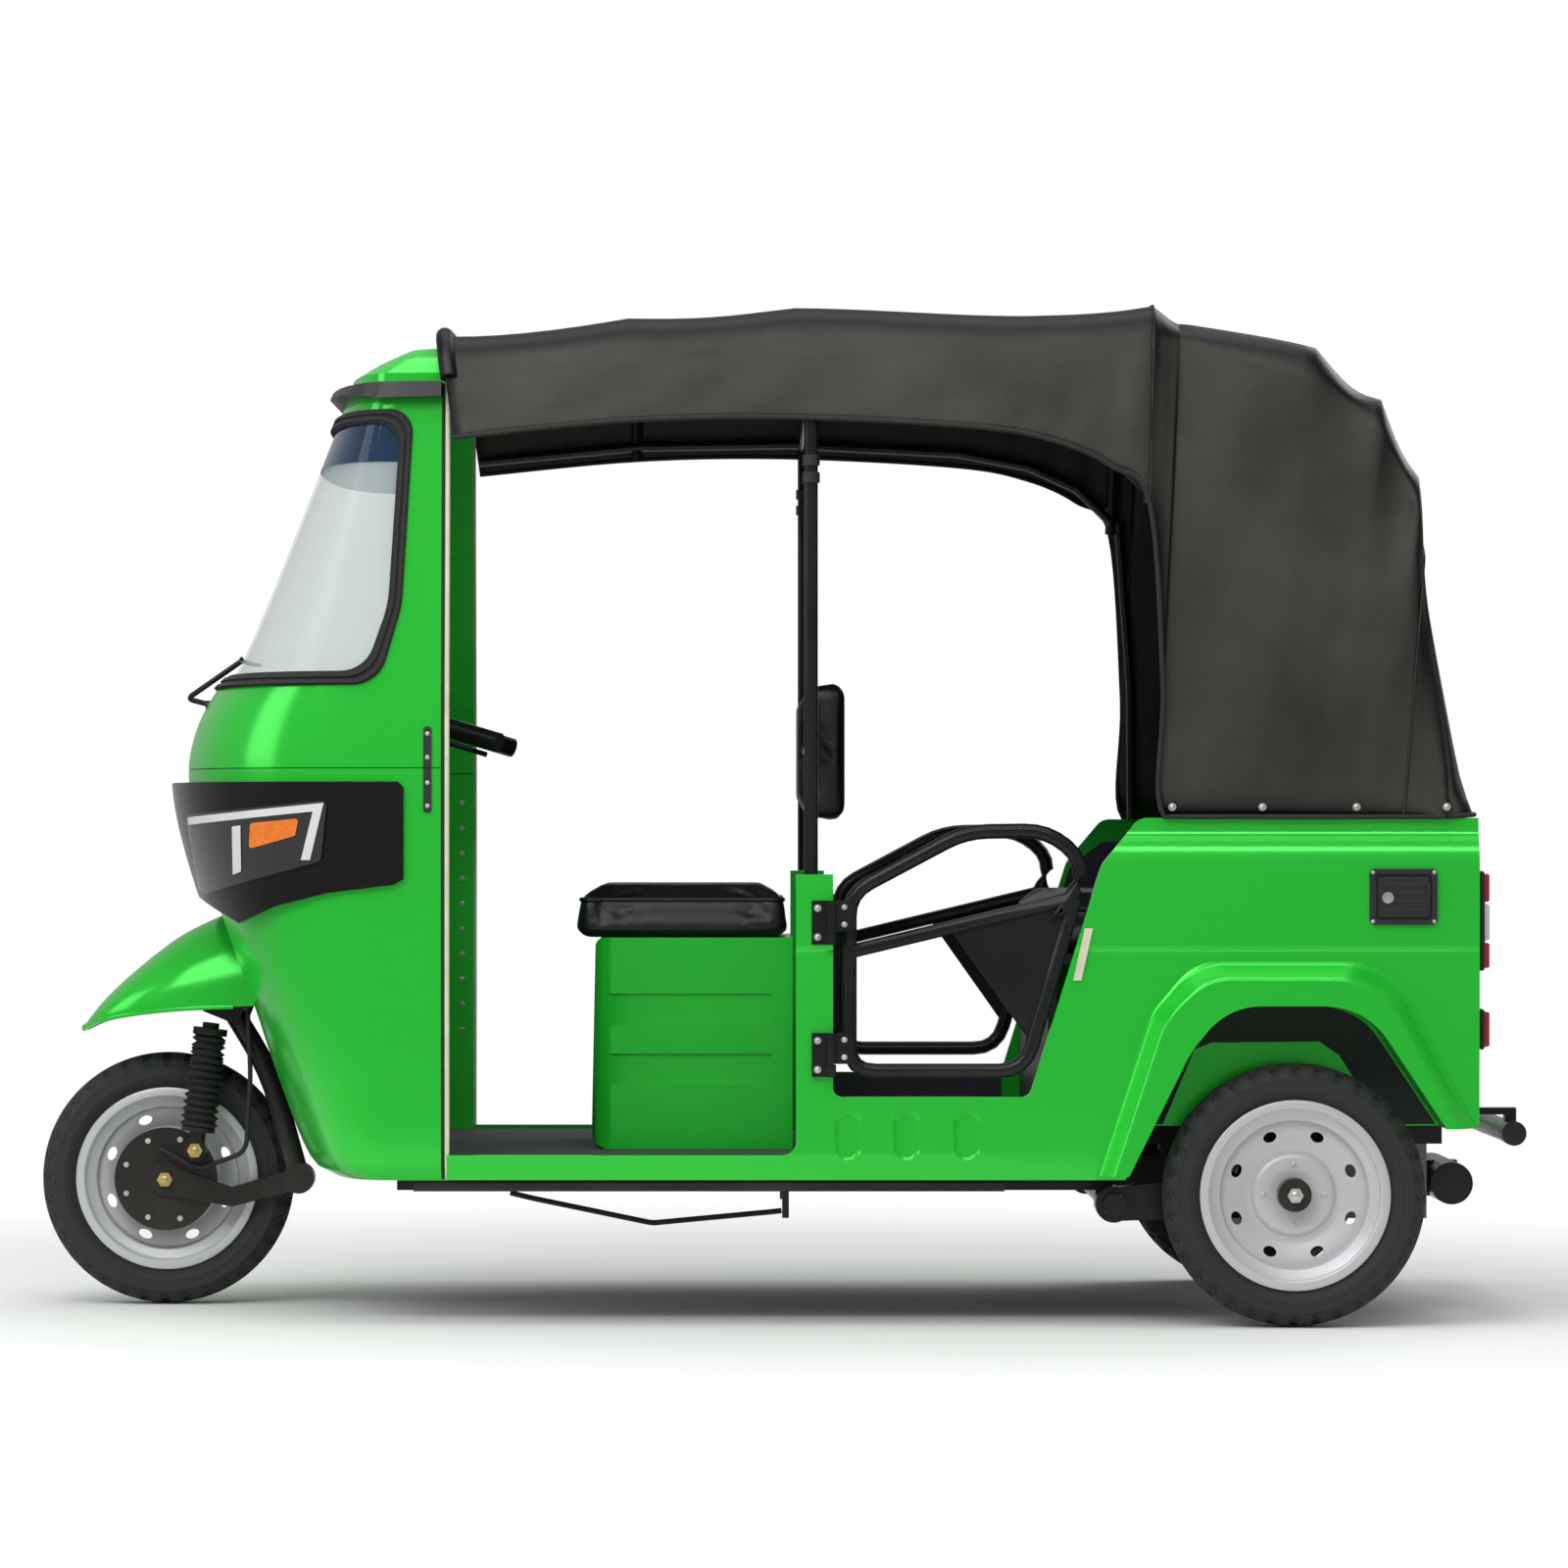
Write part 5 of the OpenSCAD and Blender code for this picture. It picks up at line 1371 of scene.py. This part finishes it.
    def tyre(self, name, node, cx, cy, body):
        """Closed tyre with its tread cut round the crown."""
        depth = sizes().tread_depth / MM
        steps = self.TREAD_STEPS
        ys = [self.TREAD_HALF - 2 * self.TREAD_HALF * i / self.TREAD_ROWS for i in range(self.TREAD_ROWS + 1)]
        rows = []
        for k in range(steps):
            ring = [(r, y - self.shoulder(k, r, depth)) for r, y in self.OUTLINE]
            ring += [(self.crown(y) - self.groove(k, y, depth), y) for y in ys]
            ring += [(r, self.shoulder(k + self.LUG // 2, r, depth) - y) for r, y in reversed(self.OUTLINE)]
            ring += self.HOLLOW
            rows.append(self.spoke(ring, 2 * math.pi * k / steps, cx, cy))
        faces = loop_faces(steps, len(rows[0]), "joined")
        obj = piece(name, flat(rows), faces, tyre_rubber(), body, "tyre_rubber", sharp=40)
        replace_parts(obj, node)

    def rear_wheel(self, side, s):
        body, cy = "rear_wheel_" + side, s * WHEEL_Y
        self.disc("rear_wheel_disc_" + side, "rear_rim_" + side, self.REAR_DISC, REAR_AXLE, cy, s, body,
                  self.REAR_HOLES)
        quarters = [math.pi * k / 2 for k in range(4)]
        bosses = self.bolt_ring(REAR_AXLE, cy + s * 2, self.BOSS_RING, quarters, s)
        fasteners("wheel_bosses_" + side, bosses, 0.007, 0.003, wheel_silver(), body, sides=16)
        fasteners("hub_nut_" + side, [((REAR_AXLE, s * (WHEEL_Y + 42), WHEEL_R), (0, s, 0))], 0.014, 0.012,
                  zinc(), body)

    def front_brake(self):
        """Bolts round the brake plate, axle nut and the nut of the shock's foot."""
        plate = self.bolt_ring(FRONT_AXLE, self.PLATE_Y, self.PLATE_RING,
                               [math.radians(d) for d in self.PLATE_ANGLES])
        fasteners("brake_plate_bolts", plate, 0.0055, 0.006, zinc(), "steering")
        nuts = [((FRONT_AXLE, 86, WHEEL_R), (0, 1, 0)),
                ((SHOCK_FOOT[0], SHOCK_FOOT[1] + 17, SHOCK_FOOT[2]), (0, 1, 0))]
        fasteners("front_axle_nut", nuts, 0.014, 0.014, brass_zinc(), "steering")

    def front_gaiter(self):
        """Ribbed gaiter over the front shock, slimmer towards its top."""
        foot, top = Vector(SHOCK_FOOT), Vector(SHOCK_TOP)
        count = 4 * self.GAITER_RIBS
        path, radii = [], []
        for k in range(count + 1):
            path.append(foot.lerp(top, 0.17 + 0.70 * k / count))
            radii.append(28.5 - 4.5 * math.cos(math.pi * k / 2) + (2.0 - 4.0 * k / count))
        piece("front_shock_gaiter", *tube_mesh(path, radii, 28), seal_rubber(), "steering", "seal_rubber",
              sharp=50)

    def execute(self, context):
        self.tyre("front_tyre_tread", "front_tyre", FRONT_AXLE, 0, "front_wheel")
        for side, s in SIDES:
            self.tyre("rear_%s_tyre_tread" % side, "rear_tyre_" + side, REAR_AXLE, s * WHEEL_Y,
                      "rear_wheel_" + side)
        self.disc("front_wheel_disc", "front_rim", self.FRONT_DISC, FRONT_AXLE, 0, 1, "front_wheel",
                  self.FRONT_HOLES)
        drum = self.turned(self.DRUM, FRONT_AXLE, 0, 1)
        piece("front_drum", *drum, tube_paint(), "front_wheel", "black_paint", sharp=32)
        for side, s in SIDES:
            self.rear_wheel(side, s)
        self.front_brake()
        self.front_gaiter()
        return {"FINISHED"}


class TAXI_OT_trim(bpy.types.Operator):
    """Seam beads, pillar strips, bar fittings, linings, tail lamps, bolts, collars and filler edge"""

    bl_idname = "taxi.trim"
    bl_label = "Trim"

    SEAM_HEIGHTS = range(256, 1639, 12)
    # Pillar strips, above and below the cowl's joint
    STRIP_BANDS = ((880, 967), (969, 1050))
    STRIP_RIVETS = (902, 942, 986, 1027)
    COWL_RIVETS = range(480, 960, 48)
    # Tail lamps: inner and outer end, then the heights of bases, red lenses and pale lenses
    LAMP_Y = (470, 560)
    LAMP_BASES = ((615, 789), (478, 549))
    RED_LENSES = ((735, 784), (620, 664), (483, 544))
    PALE_LENS = (668, 731)
    # Left switch housing and brake lever: x, y, z, with x and z from the steering axis at the bar
    HOUSING = [(-146, 268, 46), (-150, 270, 45), (-184, 288, 37), (-188, 290, 36)]
    HOUSING_R = [17, 22, 22, 17]
    LEVER = [(-160, 276, 40), (-148, 306, 26), (-190, 332, 8), (-262, 366, -14)]
    # Striker of the door latch on the quarter panel: x, z
    STRIKER = [(-542, 690), (-556, 690), (-536, 600), (-522, 600)]
    COLLAR_HEIGHTS = (1462, 1492)
    POLE_X, POLE_IN = -69, 32
    # Dark frame round the filler flap: x, z, corner radius
    FILLER_EDGE = [(-1149, 698, 8), (-1036, 698, 8), (-1036, 791, 8), (-1149, 791, 8)]
    FILLER_SCREWS = [(x, z) for x in (-1145.5, -1039.5) for z in (702, 787)]
    FILLER_LOCK = (-1065, 743)

    def seams(self):
        """Cream bead and rubber line down the joint between cowl and body."""
        beads, lines = [], []
        for _, s in SIDES:
            widths = [(read(COWL, z, HALF_WIDTH), z) for z in self.SEAM_HEIGHTS]
            beads.append(tube_mesh([(SEAM - 1, s * (w + 4.5), z) for w, z in widths], 4.2, 8))
            lines.append(tube_mesh([(SEAM + 7, s * (w + 1.5), z) for w, z in widths], 3.0, 8))
        piece("seam_bead", *joined(beads), cream_bead(), slot="seal_rubber", sharp=60)
        piece("seam_rubber", *joined(lines), seal_rubber(), slot="seal_rubber", sharp=60)

    def pillars(self):
        """Riveted strips on the cowl's sides, and the rivets inside it."""
        shape = round_corners([(SEAM + 26, 890, 5), (SEAM + 40, 890, 5), (SEAM + 40, 1039, 5),
                               (SEAM + 26, 1039, 5)])
        rivets = []
        for side, s in SIDES:
            reach = sorted((0, s * ACROSS))
            for z0, z1 in self.STRIP_BANDS:
                mesh = carved(nose_wall(z0, z1, 3, 0.2), [("INTERSECT", prism(shape, *reach))])
                dress("pillar_strip_%s_%d" % (side, z0), mesh, black_plastic(),
                      sharp=30)
            rivets += [((SEAM + 33, s * (read(COWL, z, HALF_WIDTH) + 3.2), z), (0, s, 0))
                       for z in self.STRIP_RIVETS]
        fasteners("pillar_rivets", rivets, 0.0042, 0.003, zinc(), sides=10)
        inside = [((SEAM + 22, -s * (read(COWL, z, HALF_WIDTH) - COWL_WALL - 0.5), z), (0, s, 0))
                  for _, s in SIDES for z in self.COWL_RIVETS]
        fasteners("cowl_rivets", inside, 0.005, 0.003, zinc(), sides=10)

    def bar_and_sills(self):
        """Switch housings and brake levers on the bar, and dark linings inside the door sills."""
        housings, levers, linings = [], [], []
        lining = [(QUARTER, 293), (POST[0], 293), (POST[0], DOOR_SILL - 1), (QUARTER, DOOR_SILL - 1)]
        for _, s in SIDES:
            housings.append(tube_mesh([(BAR_X + x, s * y, BAR_Z + z) for x, y, z in self.HOUSING],
                                      self.HOUSING_R, 16))
            levers.append(tube_mesh([(BAR_X + x, s * y, BAR_Z + z) for x, y, z in self.LEVER], 5, 10))
            linings.append(prism(lining, *sorted((s * (SIDE_IN - 2.2), s * (SIDE_IN - 0.4)))))
        piece("switch_housings", *joined(housings), black_plastic(), "steering", "black_plastic", sharp=40)
        piece("brake_levers", *joined(levers), tube_paint(), "steering", "black_paint", sharp=40)
        piece("sill_linings", *joined(linings), navy_trim(), slot="black_plastic", sharp=30)

    def hinges(self):
        """Bolts of the hinge leaves, on the doors and on the posts."""
        for side, s in SIDES:
            leaf = [((HINGE_X - 22, s * (SIDE_HALF + 16.2), z + dz), (0, s, 0))
                    for z in HINGE_HEIGHTS for dz in (-3, 27)]
            fasteners("door_leaf_bolts_" + side, leaf, sizes().bolt_radius * 0.8, 0.004, zinc(),
                      side + "_door", sides=12)
        posts = [((HINGE_X + 24, s * (SIDE_HALF + 3.5), z + dz), (0, s, 0))
                 for _, s in SIDES for z in HINGE_HEIGHTS for dz in (-25, 25)]
        fasteners("hinge_bolts", posts, sizes().bolt_radius, 0.005, zinc(), sides=12)

    @classmethod
    def lamp(cls, s, heights, depth=24, inset=4, radius=4):
        """Rounded lamp block on the tail, as points and faces."""
        y0, y1 = sorted((s * (cls.LAMP_Y[0] + inset), s * (cls.LAMP_Y[1] - inset)))
        bm = rounded_block((TAIL - depth, y0, heights[0]), (TAIL - 6, y1, heights[1]), radius, 3)
        bm.verts.index_update()
        verts = [tuple(v.co) for v in bm.verts]
        faces = [tuple(v.index for v in f.verts) for f in bm.faces]
        bm.free()
        return verts, faces

    def tail_lamps(self):
        red, pale, base = [], [], []
        for _, s in SIDES:
            base += [self.lamp(s, heights, 16, 0, 6) for heights in self.LAMP_BASES]
            red += [self.lamp(s, heights) for heights in self.RED_LENSES]
            pale.append(self.lamp(s, self.PALE_LENS))
        piece("tail_lamp_bases", *joined(base), black_plastic(), slot="black_plastic", sharp=30)
        lens = piece("tail_lamp_lenses", *joined(red), lamp_red(), slot="lamp_red", sharp=30)
        piece("tail_lamp_middles", *joined(pale), lamp_white(), slot="lamp_red", sharp=30)
        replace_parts(lens, "tail_lamps")

    def strikers_and_collars(self):
        strikers, collars = [], []
        for _, s in SIDES:
            strikers.append(prism(self.STRIKER, *sorted((s * (SIDE_HALF - 5), s * (SIDE_HALF + 3)))))
            y = s * (SIDE_HALF - self.POLE_IN)
            collars += [tube_mesh([(self.POLE_X, y, z + k) for k in (0, 3, 15, 18)], 15.5, 20)
                        for z in self.COLLAR_HEIGHTS]
        piece("door_strikers", *joined(strikers), cream_bead(), slot="seal_rubber", sharp=30)
        piece("pole_collars", *joined(collars), black_plastic(), slot="black_plastic", sharp=40)

    def filler(self):
        """Screws, dark frame and lock of the filler flap."""
        screws = [((x, SIDE_HALF + 6.2, z), (0, 1, 0)) for x, z in self.FILLER_SCREWS]
        fasteners("filler_screws", screws, 0.0035, 0.002, zinc(), sides=12)
        rim = carved(prism(round_corners(self.FILLER_EDGE), SIDE_HALF - 2, SIDE_HALF + 0.2),
                     [("DIFFERENCE", prism(FILLER_HOLE, 600, 640))])
        dress("filler_recess", rim, black_plastic(), sharp=30)
        x, z = self.FILLER_LOCK
        fasteners("filler_lock", [((x, SIDE_HALF + 7, z), (0, 1, 0))], 0.010, 0.008, zinc(), "filler_flap",
                  sides=24, dome=False)

    def execute(self, context):
        self.seams()
        self.pillars()
        self.bar_and_sills()
        self.hinges()
        self.tail_lamps()
        self.strikers_and_collars()
        self.filler()
        return {"FINISHED"}


class TAXI_OT_mudguard(bpy.types.Operator):
    """Painted front mudguard with a rolled rim"""

    bl_idname = "taxi.mudguard"
    bl_label = "Front mudguard"

    # Rows: x from the front axle, height of the ridge, height of the edge, half width
    ROWS = [(-170, 735, 544, 168), (-80, 697, 541, 164), (-14, 662, 537, 156), (60, 604, 528, 134),
            (115, 552, 516, 96), (152, 506, 499, 34)]

    WALL = 6
    RIM_R = 4.5
    RIM_FROM = SEAM + 395  # The rim starts where the guard leaves the cowl

    @classmethod
    def row(cls, t, inset, n=28):
        """Points across the guard at a place along the table, inset from its outside."""
        x, ridge, edge, half_w = eased_row(cls.ROWS, t)
        points = []
        for k in range(-n, n + 1):
            a = math.pi / 2 * k / n
            points.append((FRONT_AXLE + x - 0.3 * inset, (half_w - inset) * math.sin(a),
                           edge + (ridge - inset - edge) * max(0.0, math.cos(a)) ** 0.8))
        return points

    def execute(self, context):
        steps = [k / 6 for k in range(6 * (len(self.ROWS) - 1) + 1)]
        wall = grid_sheet([self.row(t, 0) for t in steps], [self.row(t, self.WALL) for t in steps])
        mesh = carved(wall, [("DIFFERENCE", nose_wall(470, 820, 0.3, -300))])
        guard = dress("mudguard_shell", mesh, green_paint(), sharp=35, largest=True)
        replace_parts(guard, "front_mudguard")
        rows = [self.row(t, 2) for t in steps]
        right, left = ([r[end] for r in rows if r[end][0] > self.RIM_FROM] for end in (0, -1))
        path = right + rows[-1][1:-1] + left[::-1]
        piece("mudguard_rim", *tube_mesh(path, self.RIM_R, 8), green_paint(), slot="green_paint", sharp=60)
        return {"FINISHED"}


class TAXI_OT_cables(bpy.types.Operator):
    """Brake hose on the fork and brake cable under the floor"""

    bl_idname = "taxi.cables"
    bl_label = "Cables"

    @staticmethod
    def eased(points, cut, steps=6):
        """Route with each corner rounded off."""
        pts = [Vector(p) for p in points]
        out = [pts[0]]
        for before, p, after in zip(pts, pts[1:], pts[2:]):
            a = p + (before - p).normalized() * cut
            b = p + (after - p).normalized() * cut
            for k in range(steps + 1):
                u = k / steps
                out.append(a * (1 - u) ** 2 + p * 2 * u * (1 - u) + b * u * u)
        return out + [pts[-1]]

    def execute(self, context):
        stem_x = FRONT_AXLE + 16 - (625 - WHEEL_R) * math.tan(math.radians(22))
        hose = [(FRONT_AXLE + 10, 71.8, 284), (FRONT_AXLE - 60, 86, 246), (FRONT_AXLE - 150, 128, 280),
                (FRONT_AXLE - 158, 128, 420), (FRONT_AXLE - 150, 127, 590), (stem_x, 58, 625),
                (stem_x, 30, 625)]
        cable = [(SEAM - 100, 300, 215.7), (SEAM - 140, 300, 206), (209.5, 300, 162), (-3, 300, 182),
                 (-20.1, 300, 184)]
        for name, node, route, cut, radius, body in (
                ("brake_hose_run", "brake_hose", hose, 24, 4.5, "steering"),
                ("brake_cable_run", "control_cable", cable, 8, 5, ROOT)):
            path = self.eased(route, cut)
            run = piece(name, *tube_mesh(path, radius, 12), seal_rubber(), body, "seal_rubber", sharp=60)
            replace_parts(run, node)
        return {"FINISHED"}


class TAXI_PT_panel(bpy.types.Panel):
    """Sidebar list of the pieces"""

    bl_idname = "TAXI_PT_panel"
    bl_label = "Taxi"
    bl_space_type = "VIEW_3D"
    bl_region_type = "UI"
    bl_category = "Taxi"

    def draw(self, context):
        for op in OPERATORS:
            self.layout.operator(op.bl_idname)


OPERATORS = [
    TAXI_OT_stage, TAXI_OT_cables, TAXI_OT_finishes, TAXI_OT_nose, TAXI_OT_sides, TAXI_OT_hood,
    TAXI_OT_seats, TAXI_OT_wheels, TAXI_OT_trim, TAXI_OT_mudguard,
]
CLASSES = [TaxiColours, TaxiSizes, *OPERATORS, TAXI_PT_panel]


def register():
    for cls in CLASSES:
        bpy.utils.register_class(cls)
    bpy.types.Scene.taxi_colours = bpy.props.PointerProperty(type=TaxiColours)
    bpy.types.Scene.taxi_sizes = bpy.props.PointerProperty(type=TaxiSizes)


def unregister():
    del bpy.types.Scene.taxi_sizes
    del bpy.types.Scene.taxi_colours
    for cls in reversed(CLASSES):
        bpy.utils.unregister_class(cls)


def main():
    register()
    for op in OPERATORS:
        group, name = op.bl_idname.split(".")
        getattr(getattr(bpy.ops, group), name)()


if __name__ == "__main__":
    main()
